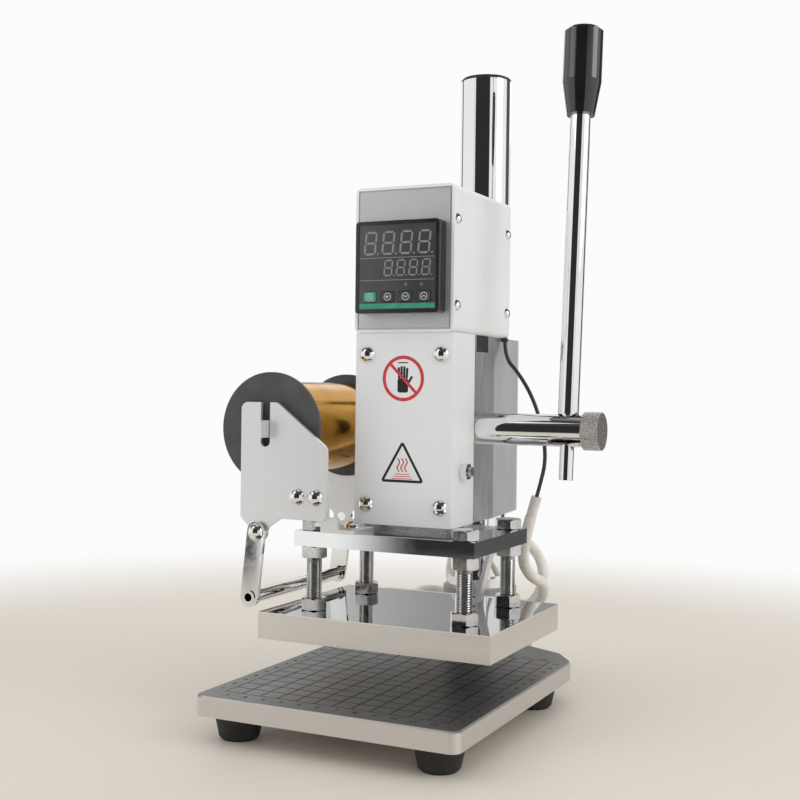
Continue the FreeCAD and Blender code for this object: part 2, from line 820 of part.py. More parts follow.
def make_lever():
    """The hand lever, which leans back a little, with its turned knob."""
    thread_end = "(knob_start + knob_thread)"
    rod_profile = [
        ("0", "-stub_end"),
        ("stub_radius", "-stub_end"),
        ("stub_radius", "shaft_radius"),
        ("lever_radius", "shaft_radius"),
        ("lever_radius", "knob_start"),
        ("knob_thread_radius", "knob_start"),
        ("knob_thread_radius", thread_end),
        ("0", thread_end),
    ]
    knob_end = "(knob_start + knob_length)"
    knob_profile = [
        ("knob_thread_radius", "knob_start"),
        ("knob_foot_radius", "knob_start"),
        ("knob_radius", "knob_start + knob_taper"),
        ("knob_radius", f"{knob_end} - knob_dome"),
        ("knob_radius - knob_dome", knob_end),
        ("0", knob_end),
        ("0", thread_end),
        ("knob_thread_radius", thread_end),
    ]
    for name, profile in (("lever_rod", rod_profile), ("lever_knob", knob_profile)):
        subpart(lean_along_lever(turned(name, profile, ("0", "0", "0")), "0"))


def involute_flank(base_radius, low, high, half_angle, steps=5):
    """Points of one flank of a tooth that is centred on local -X, from its foot to its tip."""
    pitch = number(PITCH_RADIUS)
    pitch_roll = math.sqrt((pitch / base_radius) ** 2 - 1)
    pitch_turn = pitch_roll - math.atan(pitch_roll)
    points = []
    for step in range(steps + 1):
        radius = low + (high - low) * step / steps
        roll = math.sqrt(max((radius / base_radius) ** 2 - 1, 0))
        angle = half_angle + pitch_turn - (roll - math.atan(roll))
        points.append((radius, angle))
    return points


def make_pinion():
    """The pinion: involute teeth that run on the ram's rack, pinned to the shaft."""
    module, count = number("tooth_module"), int(number("tooth_count"))
    pitch = number(PITCH_RADIUS)
    base_radius = pitch * math.cos(math.atan(number("pressure_slope")))
    tip = pitch + module
    root = pitch - number("rack_addendum") - module / 4
    half_angle = (math.pi * module / 2 - number("backlash")) / 2 / pitch
    flank = involute_flank(base_radius, base_radius, tip, half_angle)
    side = [(root, flank[0][1])] + flank
    outline = []
    for tooth in range(count):
        middle = math.pi + 2 * math.pi * tooth / count
        corners = [(radius, middle - angle) for radius, angle in side]
        corners += [(radius, middle + angle) for radius, angle in reversed(side)]
        outline += [Vector(0, radius * math.cos(turn), radius * math.sin(turn)) for radius, turn in corners]
    face = Part.Face(Part.makePolygon(outline + outline[:1]))
    half = number("rack_half")
    solid = face.extrude(Vector(2 * half, 0, 0))
    along = Vector(1, 0, 0)
    bore = Part.makeCylinder(number("journal_radius"), 2 * half, Vector(), along)
    cross = Part.makeCylinder(number("pin_radius"), 2 * tip, Vector(half, 0, -tip))
    gear = doc.addObject("Part::Feature", "pinion")
    gear.Shape = solid.cut(bore).cut(cross)
    gear.Placement = FreeCAD.Placement(Vector(-half, number("shaft_y"), number(SHAFT_Z)), Rotation())
    subpart(gear)
    reach = f"({PITCH_RADIUS} - rack_addendum - tooth_module / 4)"
    subpart(rod("pinion_pin", "pin_radius", f"2 * {reach}", ("0", "shaft_y", f"{SHAFT_Z} - {reach}")))


# ---------------------------------------------------------------- ram and plates

def rack_spaces():
    """Spaces between the rack's teeth; one faces the pinion's own tooth at rest."""
    pitch = "(pi * tooth_module)"
    half = f"({pitch} / 4)"
    depth = "rack_dedendum"
    rise = "rack_addendum"
    spaces = []
    for step in range(-int(number("rack_below")), int(number("rack_above")) + 1):
        middle = f"({SHAFT_Z} + {step} * {pitch})"
        wide = f"({half} + ({rise} + end_play) * pressure_slope)"
        narrow = f"({half} - {depth} * pressure_slope)"
        corners = [
            (f"{PITCH_Y} - {depth}", f"{middle} - {narrow}"),
            (f"{PITCH_Y} + {rise} + end_play", f"{middle} - {wide}"),
            (f"{PITCH_Y} + {rise} + end_play", f"{middle} + {wide}"),
            (f"{PITCH_Y} - {depth}", f"{middle} + {narrow}"),
        ]
        spaces.append(prism(f"rack_space{step + int(number('rack_below'))}", corners,
                            "2 * rack_half + 2 * end_play", ("-rack_half - end_play", "0", "0"), "X"))
    return spaces


def make_ram():
    """The ram: a square bar with a rack down its back and a flange at its foot."""
    bar = box("ram_stem", ("-ram_half", RAM_FRONT, "adaptor_top"),
              ("2 * ram_half", f"{RACK_ROOT} - {RAM_FRONT}", RAM_TALL))
    strip = box("ram_strip", ("-rack_half", RACK_ROOT, "adaptor_top + flange_thick"),
                ("2 * rack_half", f"{PITCH_Y} + rack_addendum - {RACK_ROOT}", f"{RAM_TALL} - flange_thick"))
    flange = box("ram_foot", ("-flange_half", "flange_front", "adaptor_top"),
                 ("2 * flange_half", "flange_back - flange_front", "flange_thick"))
    solid = join("ram_solid", [bar, strip, flange])
    taps = [rod(f"ram_tap{i}", "ram_screw_radius", "ram_screw_length",
                (f"{x} * ram_screw_x", "ram_screw_y", "adaptor_top")) for i, x in enumerate((-1, 1))]
    subpart(cut("ram", solid, rack_spaces() + taps))


def bolt_places():
    """Where the four levelling bolts stand."""
    return [(f"{x} * bolt_x", y) for x in (-1, 1) for y in ("-bolt_front", "bolt_back")]


def bracket_foot_screws():
    """Screws that hold the two angles down: name, x, y and the size of the dome."""
    front_x = "(-front_foot_x + front_foot_half)"
    front = ("front", front_x, "(front_foot_end - dome_radius - 1)", "dome_radius", "dome_rise")
    rear_x = "(-rear_foot_x + rear_foot_wide / 2)"
    rear = ("rear", rear_x, "bolt_back", "foot_screw_dome", "foot_screw_rise")
    return [front, rear]


def make_adaptor_plate():
    """The upper plate, screwed to the ram, which carries the bracket and the bolts."""
    blank = box("adaptor_blank", ("-adaptor_width / 2", "-adaptor_front", ADAPTOR_LOW),
                ("adaptor_width", "adaptor_depth", "adaptor_thick"))
    tools = [rod(f"adaptor_hole{i}", "bolt_radius", "adaptor_thick", (x, y, ADAPTOR_LOW))
             for i, (x, y) in enumerate(bolt_places())]
    screws = []
    for index, sign in enumerate((-1, 1)):
        spot = (f"{sign} * ram_screw_x", "ram_screw_y", ADAPTOR_LOW)
        profile = [
            ("0", "0"),
            ("ram_screw_head_radius", "0"),
            ("ram_screw_radius", "ram_screw_head"),
            ("ram_screw_radius", "ram_screw_length"),
            ("0", "ram_screw_length"),
        ]
        screws.append(turned(f"ram_screw{index}", profile, spot))
        tools.append(turned(f"adaptor_sink{index}", profile, spot))
    for name, x, y, _, _ in bracket_foot_screws():
        tools.append(rod(f"adaptor_tap_{name}", "bracket_screw_radius", "adaptor_thick", (x, y, ADAPTOR_LOW)))
    subpart(cut("adaptor_plate", blank, tools))
    subpart(group("ram_screws", screws))


def make_heating_plate():
    """The heated platen: a thick plate bored for its cartridges, tapped for the bolts."""
    blank = box("heater_blank", ("-heater_width / 2", "-heater_front", HEATER_LOW),
                ("heater_width", "heater_depth", "heater_thick"))
    tools = [rod(f"heater_tap{i}", "bolt_radius", "bolt_depth", (x, y, f"{HEATER_TOP} - bolt_depth"))
             for i, (x, y) in enumerate(bolt_places())]
    middle = f"({HEATER_LOW} + heater_thick / 2 - cover_drop)"
    cartridges = []
    for index, step in enumerate((-1, 0, 1)):
        spot = (f"{step} * cartridge_x / 2", HEATER_BACK, middle)
        tools.append(rod(f"heater_bore{index}", "cartridge_radius", "cartridge_length", spot, "-Y"))
        cartridges.append(rod(f"cartridge{index}", "cartridge_radius", "cartridge_length", spot, "-Y"))
    subpart(cut("heating_plate", blank, tools))
    subpart(group("heater_cartridges", cartridges))


def make_terminal_cover():
    """A folded cover behind the heating plate, over the ends of the cartridges."""
    low = ("-cover_half", HEATER_BACK, f"{HEATER_LOW} + cover_drop")
    tall = "(heater_thick - 2 * cover_drop)"
    blank = box("cover_blank", low, ("2 * cover_half", "cover_depth", tall))
    inside = box("cover_inside",
                 ("-cover_half + cover_wall", HEATER_BACK, f"{HEATER_LOW} + cover_drop + cover_wall"),
                 ("2 * (cover_half - cover_wall)", "cover_depth - cover_wall", f"{tall} - 2 * cover_wall"))
    x, y, z = HEATER_ROUTE[-1]
    entry = rod("cover_entry", "sleeve_radius", "cover_depth", (f"{x}", f"{y}", f"{z}"), "Y")
    subpart(cut("terminal_cover", blank, [inside, entry]))


def chamfered_hexagon(name, flats, height, at):
    """A hexagonal bar with the corners of both ends turned off at 30 degrees."""
    face = f"{flats} * hex_face_share / 2"
    corner = f"{flats} / 2 / cos(30 deg)"
    rise = f"({corner} - {face}) * tan(30 deg)"
    profile = [("0", "0"), (face, "0"), (corner, rise), (corner, f"{height} - {rise}"), (face, height), ("0", height)]
    both = doc.addObject("Part::MultiCommon", name)
    both.Shapes = [hexagon(f"{name}_bar", flats, height, at), turned(f"{name}_round", profile, at)]
    return both


def make_levelling_bolts():
    """Hex bolts through the adaptor plate into the heating plate, each with two nuts."""
    bolts, nuts = [], []
    for index, (x, y) in enumerate(bolt_places()):
        head = chamfered_hexagon(f"bolt{index}_head", "bolt_flats", "bolt_head", (x, y, "adaptor_top"))
        shank = rod(f"bolt{index}_shank", "bolt_radius", "adaptor_thick + plate_gap + bolt_depth",
                    (x, y, f"{HEATER_TOP} - bolt_depth"))
        bolts.append(join(f"bolt{index}", [head, shank]))
        for level, z in (("upper", f"{ADAPTOR_LOW} - bolt_nut"), ("lower", HEATER_TOP)):
            blank = chamfered_hexagon(f"nut{index}_{level}_blank", "bolt_flats", "bolt_nut", (x, y, z))
            hole = rod(f"nut{index}_{level}_hole", "bolt_radius", "bolt_nut", (x, y, z))
            nuts.append(cut(f"nut{index}_{level}", blank, [hole]))
    subpart(group("levelling_bolts", bolts))
    subpart(group("levelling_nuts", nuts))


def make_plate_stay():
    """A bent strip that ties the two plates together at the back."""
    low, high, thick = HEATER_TOP, ADAPTOR_LOW, "stay_thick"
    corners = [
        ("stay_x - stay_foot", low),
        ("stay_x + stay_thick", low),
        ("stay_x + stay_thick + stay_lean", high),
        ("stay_x + stay_lean - stay_foot", high),
        ("stay_x + stay_lean - stay_foot", f"{high} - {thick}"),
        ("stay_x + stay_lean - stay_thick", f"{high} - {thick}"),
        ("stay_x", f"{low} + {thick}"),
        ("stay_x - stay_foot", f"{low} + {thick}"),
    ]
    subpart(prism("plate_stay", corners, "stay_wide", ("0", "stay_back", "0"), "-Y"))


# ---------------------------------------------------------------- foil bracket and roll

def side_plate(name, back):
    """One side plate: a slot for the spindle and an ear for the arm's pivot."""
    corners = [
        ("-side_left", "side_top"),
        ("-side_left", "side_bottom"),
        ("-pivot_x - ear_radius", "side_bottom - (side_left - pivot_x - ear_radius)"),
        ("-pivot_x - ear_radius", "pivot_z"),
        ("-pivot_x + ear_radius", "pivot_z"),
        ("-pivot_x + ear_radius", "pivot_z + ear_radius * 0.4"),
        ("-ear_run", "side_bottom"),
        ("-side_right", "side_bottom"),
        ("-side_right", "side_slope_z"),
        ("-side_slope_x", "side_top"),
    ]
    holes = [
        ("-bracket_screw_x", "bracket_screw_z", "bracket_screw_radius"),
        ("-bracket_screw_x + bracket_screw_gap", "bracket_screw_z", "bracket_screw_radius"),
    ]
    rounds = {"side_corner": [0, 7, 8, 9], "ear_fillet": [5]}
    plate = prism(f"{name}_plate", corners, "sheet_thick", ("0", back, "0"), "-Y", holes, rounds)
    ear = rod(f"{name}_ear", "ear_radius", "sheet_thick", ("-pivot_x", back, "pivot_z"), "-Y")
    low = "(slot_bottom + slot_half)"
    tools = [
        rod(f"{name}_slot_end", "slot_half", "sheet_thick", ("-roll_x", back, low), "-Y"),
        box(f"{name}_slot", ("-roll_x - slot_half", f"{back} - sheet_thick", low),
            ("2 * slot_half", "sheet_thick", f"side_top - {low}")),
        rod(f"{name}_pivot", "screw_radius", "sheet_thick", ("-pivot_x", back, "pivot_z"), "-Y"),
    ]
    return cut(name, join(f"{name}_solid", [plate, ear]), tools)


def make_bracket():
    """Side plates, the angles that carry them, and their dome-headed screws."""
    front = "(-side_front + sheet_thick)"
    subpart(side_plate("front_side_plate", front))
    subpart(side_plate("rear_side_plate", SIDE_BACK))
    wide = "(angle_left - side_right)"
    uprights = {"front": front, "rear": f"({SIDE_BACK} - 2 * sheet_thick)"}
    feet = {
        "front": (("-front_foot_x", front), ("2 * front_foot_half", f"front_foot_end - {front}")),
        "rear": (("-rear_foot_x", "rear_foot_end"),
                 ("rear_foot_wide", f"{uprights['rear']} + sheet_thick - rear_foot_end")),
    }
    angles, screws = [], []
    lows = {"front": "side_bottom", "rear": "adaptor_top"}
    neck = box("front_neck", ("-front_foot_x", front, "adaptor_top"),
               ("front_neck_wide", "sheet_thick", "side_bottom - adaptor_top + sheet_thick"))
    for name, x, y, radius, rise in bracket_foot_screws():
        up = box(f"{name}_upright", ("-angle_left", uprights[name], lows[name]),
                 (wide, "sheet_thick", f"adaptor_top + angle_tall - {lows[name]}"))
        (low_x, low_y), (foot_wide, foot_long) = feet[name]
        foot = box(f"{name}_foot", (low_x, low_y, "adaptor_top"), (foot_wide, foot_long, "sheet_thick"))
        holes = [rod(f"{name}_foot_hole", "bracket_screw_radius", "sheet_thick", (x, y, "adaptor_top"))]
        along = "-Y" if name == "front" else "Y"
        face = "-side_front" if name == "front" else SIDE_BACK
        inward = "Y" if name == "front" else "-Y"
        for side, shift in (("a", "0"), ("b", "bracket_screw_gap")):
            spot = (f"-bracket_screw_x + {shift}", face, "bracket_screw_z")
            screws.append(dome_screw(f"{name}_screw_{side}", "dome_radius", "dome_rise",
                                     "bracket_screw_radius", "2 * sheet_thick", spot, along))
            holes.append(rod(f"{name}_hole_{side}", "bracket_screw_radius", "2 * sheet_thick", spot, inward))
        bent = [up, foot, neck] if name == "front" else [up, foot]
        angles.append(cut(f"{name}_angle", join(f"{name}_angle_solid", bent), holes))
        screws.append(dome_screw(f"{name}_foot_screw", radius, rise, "bracket_screw_radius",
                                 "sheet_thick + adaptor_thick", (x, y, "adaptor_top + sheet_thick"), "Z"))
    subpart(group("bracket_angles", angles))
    subpart(group("bracket_screws", screws))


def make_roll():
    """The spindle with flats at its ends, and the roll of foil that turns on it."""
    front, back = "(-side_front + sheet_thick)", f"({SIDE_BACK} - sheet_thick)"
    bar = rod("spindle_bar", "spindle_radius", f"{back} - {front} - 2 * part_gap",
              ("-roll_x", f"{front} + part_gap", "roll_z"), "Y")
    out = "(blade_out + sheet_thick + part_gap)"
    blade = ("2 * blade_half", out, "blade_tall")
    low_x, low_z = "-roll_x - blade_half", "roll_z - blade_tall / 2"
    near = box("spindle_near", (low_x, "-side_front - blade_out", low_z), blade)
    far = box("spindle_far", (low_x, f"{back} - part_gap", low_z), blade)
    subpart(join("spindle", [bar, near, far]))
    start = f"({ROLL_MIDDLE} - foil_wide / 2)"
    subpart(tube("foil", "foil_radius", "core_radius", "foil_wide", ("-roll_x", start, "roll_z"), "Y"))
    subpart(tube("foil_core", "core_radius", "hub_radius", "foil_wide", ("-roll_x", start, "roll_z"), "Y"))
    bore = "spindle_radius + running_clearance"
    profile = [
        (bore, "-roll_flange_thick"),
        ("flange_radius", "-roll_flange_thick"),
        ("flange_radius", "0"),
        ("hub_radius", "0"),
        ("hub_radius", "foil_wide / 4"),
        (bore, "foil_wide / 4"),
    ]
    near = turned("roll_flange_near", profile, ("-roll_x", start, "roll_z"), "Y")
    far = turned("roll_flange_far", profile, ("-roll_x", f"{start} + foil_wide", "roll_z"), "-Y")
    subpart(group("roll_flanges", [near, far]))


def arm(name, near_face):
    """One link, round at both ends, from the pivot down to the tube."""
    half = "arm_half"
    span = "sqrt(arm_drop ^ 2 + arm_lean ^ 2)"
    across = (f"{half} * arm_drop / {span}", f"{half} * arm_lean / {span}")
    low = ("(-pivot_x - arm_lean)", "(pivot_z - arm_drop)")
    corners = [
        (f"-pivot_x - {across[0]}", f"pivot_z + {across[1]}"),
        (f"{low[0]} - {across[0]}", f"{low[1]} + {across[1]}"),
        (f"{low[0]} + {across[0]}", f"{low[1]} - {across[1]}"),
        (f"-pivot_x + {across[0]}", f"pivot_z - {across[1]}"),
    ]
    back = f"({near_face} + sheet_thick)"
    link = prism(f"{name}_link", corners, "sheet_thick", ("0", back, "0"), "-Y")
    ends = [
        rod(f"{name}_top", half, "sheet_thick", ("-pivot_x", back, "pivot_z"), "-Y"),
        rod(f"{name}_tip", half, "sheet_thick", (low[0], back, low[1]), "-Y"),
    ]
    tools = [
        rod(f"{name}_pivot", "screw_radius + running_clearance", "sheet_thick",
            ("-pivot_x", back, "pivot_z"), "-Y"),
        rod(f"{name}_eye", "tube_radius + running_clearance", "sheet_thick", (low[0], back, low[1]), "-Y"),
    ]
    return cut(name, join(f"{name}_solid", [link] + ends), tools)


def make_arms():
    """The two arms, the screws they swing on and the tube that turns in them."""
    near = "(-side_front - part_gap - sheet_thick)"
    far = f"({SIDE_BACK} + part_gap)"
    subpart(group("guide_arms", [arm("near_arm", near), arm("far_arm", far)]))
    stand_off = "(sheet_thick + 2 * part_gap)"
    screws = [
        dome_screw("pivot_near", "dome_radius", "dome_rise", "screw_radius", f"{stand_off} + sheet_thick",
                   ("-pivot_x", f"-side_front - {stand_off}", "pivot_z"), "-Y"),
        dome_screw("pivot_far", "dome_radius", "dome_rise", "screw_radius", f"{stand_off} + sheet_thick",
                   ("-pivot_x", f"{SIDE_BACK} + {stand_off}", "pivot_z"), "Y"),
    ]
    subpart(group("pivot_screws", screws))
    length = f"({far} - {near} + sheet_thick + 2 * tube_out)"
    start = "(tube_out + sheet_thick + part_gap)"
    profile = [
        ("tube_bore", "0"),
        ("tube_radius", "0"),
        ("tube_radius", start),
        ("tube_collar", start),
        ("tube_collar", f"{start} + sheet_thick"),
        ("tube_radius", f"{start} + sheet_thick"),
        ("tube_radius", f"{length} - {start} - sheet_thick"),
        ("tube_collar", f"{length} - {start} - sheet_thick"),
        ("tube_collar", f"{length} - {start}"),
        ("tube_radius", f"{length} - {start}"),
        ("tube_radius", length),
        ("tube_bore", length),
    ]
    subpart(turned("guide_tube", profile,
                   ("-pivot_x - arm_lean", f"{near} - tube_out", "pivot_z - arm_drop"), "Y"))


# ---------------------------------------------------------------- control box

def make_box_shell():
    """The control box's wrapper: a folded sleeve, open at both ends."""
    corners = [
        ("-box_half", HEAD_TOP),
        ("box_half", HEAD_TOP),
        ("box_half", BOX_TOP),
        ("-box_half", BOX_TOP),
    ]
    blank = prism("shell_blank", corners, "box_depth", ("0", BOX_BACK, "0"), "-Y",
                  rounds={"box_corner": [0, 1, 2, 3]})
    tools = [box("shell_inside", (f"-{PANEL_HALF}", "box_front", PANEL_LOW),
                 (f"2 * {PANEL_HALF}", "box_depth", f"{PANEL_TOP} - {PANEL_LOW}"))]
    x, y, _ = CONTROLLER_ROUTE[0]
    tools.append(rod("shell_lead_hole", "lead_radius", "box_wall", (f"{x}", f"{y}", HEAD_TOP)))
    for index, (_, sx, sy, sz, along) in enumerate(box_screw_places()):
        tools.append(rod(f"shell_hole{index}", "box_screw_radius", "box_wall", (sx, sy, sz),
                         OPPOSITE[along]))
    subpart(cut("box_shell", blank, tools))


def box_screw_places():
    """The eight screws in the sides of the control box."""
    places = []
    for sign, along in ((1, "X"), (-1, "-X")):
        for y in ("box_front + box_screw_in", f"{BOX_BACK} - box_screw_in"):
            for up in ("box_screw_low", "box_screw_high"):
                places.append((sign, f"{sign} * box_half", y, f"{HEAD_TOP} + {up}", along))
    return places


def panel(name, outer, inward, is_back, opening):
    """An end panel: a plate, a raised face with a gap round it, and tabs for the screws."""
    deep = "(panel_thick + panel_step)"
    inner = f"({outer} + {inward} * {deep})"
    face_y = outer if inward > 0 else inner
    plate_y = f"({outer} + panel_step)" if inward > 0 else inner
    tab_y = inner if inward > 0 else f"({inner} - tab_deep)"
    plate = box(f"{name}_plate", (f"-{PANEL_HALF}", plate_y, PANEL_LOW),
                (f"2 * {PANEL_HALF}", "panel_thick", f"{PANEL_TOP} - {PANEL_LOW}"))
    face = box(f"{name}_face", (f"-{PANEL_HALF} + panel_gap", face_y, f"{PANEL_LOW} + panel_gap"),
               (f"2 * ({PANEL_HALF} - panel_gap)", deep, f"{PANEL_TOP} - {PANEL_LOW} - 2 * panel_gap"))
    solids, holes = [plate, face], [opening]
    for index, (sign, x, y, z, along) in enumerate(box_screw_places()):
        if is_back != (BOX_BACK in y):
            continue
        tab_x = f"{PANEL_HALF} - tab_thick" if sign > 0 else f"-{PANEL_HALF}"
        solids.append(box(f"{name}_tab{index}", (tab_x, tab_y, f"{z} - tab_tall / 2"),
                          ("tab_thick", "tab_deep", "tab_tall")))
        reach = "box_wall + tab_thick"
        holes.append(rod(f"{name}_tap{index}", "box_screw_radius", reach, (x, y, z), OPPOSITE[along]))
    return cut(name, join(f"{name}_solid", solids), holes)


def make_box_panels():
    """Front and back panels, and the screws that hold the wrapper to their tabs."""
    case_low = f"({BEZEL_LOW} + (bezel_side - case_side) / 2)"
    front_opening = box("front_opening", ("-case_side / 2", "box_front", case_low),
                        ("case_side", "panel_thick + panel_step", "case_side"))
    subpart(panel("front_panel", "box_front", 1, False, front_opening))
    inset = "inlet_flange"
    back_opening = box("back_opening", (f"-inlet_half + {inset}", f"{BOX_BACK} - 2 * panel_thick - panel_step",
                                        f"{INLET_LOW} + {inset}"),
                       (f"2 * (inlet_half - {inset})", "3 * panel_thick + panel_step",
                        f"inlet_tall - 2 * {inset}"))
    subpart(panel("back_panel", BOX_BACK, -1, True, back_opening))
    screws = []
    for index, (sign, x, y, z, along) in enumerate(box_screw_places()):
        screws.append(dome_screw(f"box_screw{index}", "box_screw_dome", "box_screw_rise",
                                 "box_screw_radius", "box_wall + tab_thick", (x, y, z), along))
    subpart(group("box_screws", screws))


def key_places():
    """The middle of each key on the controller's face."""
    places = []
    for index in range(int(number("key_count"))):
        step = f"({index} - (key_count - 1) / 2)"
        places.append((f"{step} * key_pitch", f"({BEZEL_LOW} + key_up)"))
    return places


def key_block(name, x, z, grow, start, deep):
    """A block round a key's place, grown by some room on each side."""
    return box(name, (f"{x} - key_wide / 2 - {grow}", start, f"{z} - key_tall / 2 - {grow}"),
               (f"key_wide + 2 * {grow}", deep, f"key_tall + 2 * {grow}"))


def make_controller():
    """The temperature controller: bezel and case, window, and keys that can be pressed."""
    corners = [
        ("-bezel_side / 2", BEZEL_LOW),
        ("bezel_side / 2", BEZEL_LOW),
        ("bezel_side / 2", f"{BEZEL_LOW} + bezel_side"),
        ("-bezel_side / 2", f"{BEZEL_LOW} + bezel_side"),
    ]
    bezel = prism("bezel", corners, "bezel_proud", ("0", "box_front", "0"), "-Y",
                  rounds={"bezel_corner": [0, 1, 2, 3]})
    inset = "(bezel_side - case_side) / 2"
    case = box("case_back", ("-case_side / 2", "box_front", f"{BEZEL_LOW} + {inset}"),
               ("case_side", "case_deep", "case_side"))
    window_low = ("-bezel_side / 2 + window_inset", f"{BEZEL_FRONT} + window_recess",
                  f"{BEZEL_LOW} + window_inset")
    side = "(bezel_side - 2 * window_inset)"
    recess = box("window_recess_cut", (window_low[0], BEZEL_FRONT, window_low[2]),
                 (side, "window_recess + window_thick", side))
    room = "key_deep + key_travel + part_gap - key_proud - window_recess - window_thick"
    pockets, windows = [recess], []
    for index, (x, z) in enumerate(key_places()):
        pockets.append(key_block(f"key_pocket{index}", x, z, "part_gap", WINDOW_BACK, room))
        windows.append(key_block(f"key_window{index}", x, z, "part_gap", window_low[1], "window_thick"))
        key_front = f"({BEZEL_FRONT} + window_recess - key_proud)"
        subpart(key_block(f"key_{index + 1}", x, z, "0", key_front, "key_deep"))
    subpart(cut("controller_case", join("case_solid", [bezel, case]), pockets))
    pane = box("window_pane", window_low, (side, "window_thick", side))
    subpart(cut("controller_window", pane, windows))


def make_power_board():
    """The power board, hung on four spacers under the roof of the control box."""
    low_z = f"({PANEL_TOP} - board_drop)"
    start = "(box_front + case_side / 2)"
    board = box("board", ("-board_half", start, low_z), ("2 * board_half", "board_long", "board_thick"))
    solids = [board]
    inset = "2 * spacer_radius"
    for sign in (-1, 1):
        for index, y in enumerate((f"{start} + {inset}", f"{start} + board_long - {inset}")):
            solids.append(rod(f"spacer{sign + 1}{index}", "spacer_radius", "board_drop - board_thick",
                              (f"{sign} * (board_half - {inset})", y, f"{low_z} + board_thick")))
    subpart(join("power_board", solids))


def make_mains_inlet():
    """The mains inlet with its three blades, and the rocker switch above it."""
    inset = "inlet_flange"
    flange = box("inlet_flange_plate", ("-inlet_half", BOX_BACK, INLET_LOW),
                 ("2 * inlet_half", "inlet_flange", "inlet_tall"))
    housing = box("inlet_housing", (f"-inlet_half + {inset}", f"{BOX_BACK} - inlet_deep",
                                    f"{INLET_LOW} + {inset}"),
                  (f"2 * (inlet_half - {inset})", "inlet_deep", f"inlet_tall - 2 * {inset}"))
    face = f"({BOX_BACK} + inlet_flange)"
    socket = box("inlet_socket", ("-socket_half", f"{face} - socket_deep", f"{INLET_LOW} + socket_up"),
                 ("2 * socket_half", "socket_deep", "socket_high"))
    rocker_z = f"({INLET_LOW} + rocker_up)"
    well = box("rocker_well", ("-rocker_half - part_gap", f"{face} - rocker_in - rocker_room",
                               f"{rocker_z} - part_gap"),
               ("2 * (rocker_half + part_gap)", "rocker_in + rocker_room", "rocker_tall + 2 * part_gap"))
    hinge_y, hinge_z = f"{face} - rocker_room", f"{rocker_z} + rocker_tall / 2"
    pin_reach = "rocker_half + rocker_pin_out"
    pin_hole = rod("rocker_pin_hole", "rocker_pin + running_clearance", f"2 * ({pin_reach} + part_gap)",
                   (f"-({pin_reach} + part_gap)", hinge_y, hinge_z), "X")
    shell = cut("inlet_shell", join("inlet_solid", [flange, housing]), [socket, well, pin_hole])
    blades = []
    places = (("-blade_pitch", "blade_up"), ("0", "earth_up"), ("blade_pitch", "blade_up"))
    for index, (x, up) in enumerate(places):
        blades.append(box(f"blade{index}", (f"{x} - pin_half", f"{face} - socket_deep",
                                            f"{INLET_LOW} + socket_up + {up}"),
                          ("2 * pin_half", "pin_long", "pin_tall")))
    subpart(join("mains_inlet", [shell] + blades))
    half = "(rocker_tall / 2 - rocker_room / 4)"
    corners = [
        ("-rocker_in + rocker_room", "0"),
        ("0", f"-{half} + rocker_room / 4"),
        ("rocker_out * 0.8", f"-{half} + rocker_room / 4"),
        ("rocker_out * 0.3", "0"),
        ("rocker_out * 0.8", f"{half} - rocker_room / 4"),
        ("0", f"{half} - rocker_room / 4"),
    ]
    paddle = prism("rocker_paddle", corners, "2 * rocker_half", ("-rocker_half", hinge_y, hinge_z), "X")
    tilt = Rotation(Vector(1, 0, 0), number("rocker_tilt"))
    paddle.Placement.Rotation = tilt.multiply(TURNS["X"])
    pin = rod("rocker_hinge_pin", "rocker_pin", f"2 * ({pin_reach})",
              (f"-({pin_reach})", hinge_y, hinge_z), "X")
    subpart(join("rocker", [paddle, pin]))


# ---------------------------------------------------------------- leads

def lead_path(points):
    """Straight runs joined by tangent arcs, each as large as its two runs allow."""
    knots = [Vector(*point) for point in points]
    edges, start, radii, length = [], knots[0], [], 0
    for before, knot, after in zip(knots, knots[1:], knots[2:]):
        come, leave = knot - before, after - knot
        turn = come.getAngle(leave)
        cut_back = 0.45 * min(come.Length, leave.Length)
        radii.append(cut_back / math.tan(turn / 2))
        come.normalize()
        leave.normalize()
        enter, leaving = knot - come * cut_back, knot + leave * cut_back
        bisector = (leave - come).normalize()
        middle = knot + bisector * (radii[-1] / math.cos(turn / 2) - radii[-1])
        arc = Part.Arc(enter, middle, leaving).toShape()
        edges += [Part.LineSegment(start, enter).toShape(), arc]
        start = leaving
    edges.append(Part.LineSegment(start, knots[-1]).toShape())
    length = sum(edge.Length for edge in edges)
    return Part.Wire(edges), min(radii), length


def make_lead(name, points, radius):
    """A round lead along its route, checked against its own length and section."""
    wire, tightest, length = lead_path(points)
    heading = Vector(*points[1]) - Vector(*points[0])
    section = Part.Wire([Part.Circle(Vector(*points[0]), heading, radius).toShape()])
    lead = doc.addObject("Part::Feature", name)
    lead.Shape = wire.makePipeShell([section], True, True)
    expected = math.pi * radius ** 2 * length
    print(f"{name}: length {length:.1f}, tightest bend {tightest:.1f}, "
          f"volume {lead.Shape.Volume / expected:.4f} of section times length")
    subpart(lead)


def make_leads():
    """The controller's lead, its splice, and the sleeved lead that heats the plate."""
    drop = number(HEAD_TOP) - SPLICE_TOP[2]
    route = [(x, y, SPLICE_TOP[2] + share * drop) for x, y, share in CONTROLLER_ROUTE]
    make_lead("controller_lead", route, number("lead_radius"))
    make_lead("heater_lead", HEATER_ROUTE, number("sleeve_radius"))
    start, end = Vector(*SPLICE_TOP), Vector(*SPLICE_END)
    axis = end - start
    splice = doc.addObject("Part::Feature", "lead_splice")
    splice.Shape = Part.makeCylinder(number("splice_radius"), axis.Length, start, axis)
    subpart(splice)
    x, y, _ = CONTROLLER_ROUTE[0]
    subpart(tube("lead_gland", "gland_radius", "lead_radius", "gland_length",
                 (f"{x}", f"{y}", f"{HEAD_TOP} - gland_length")))


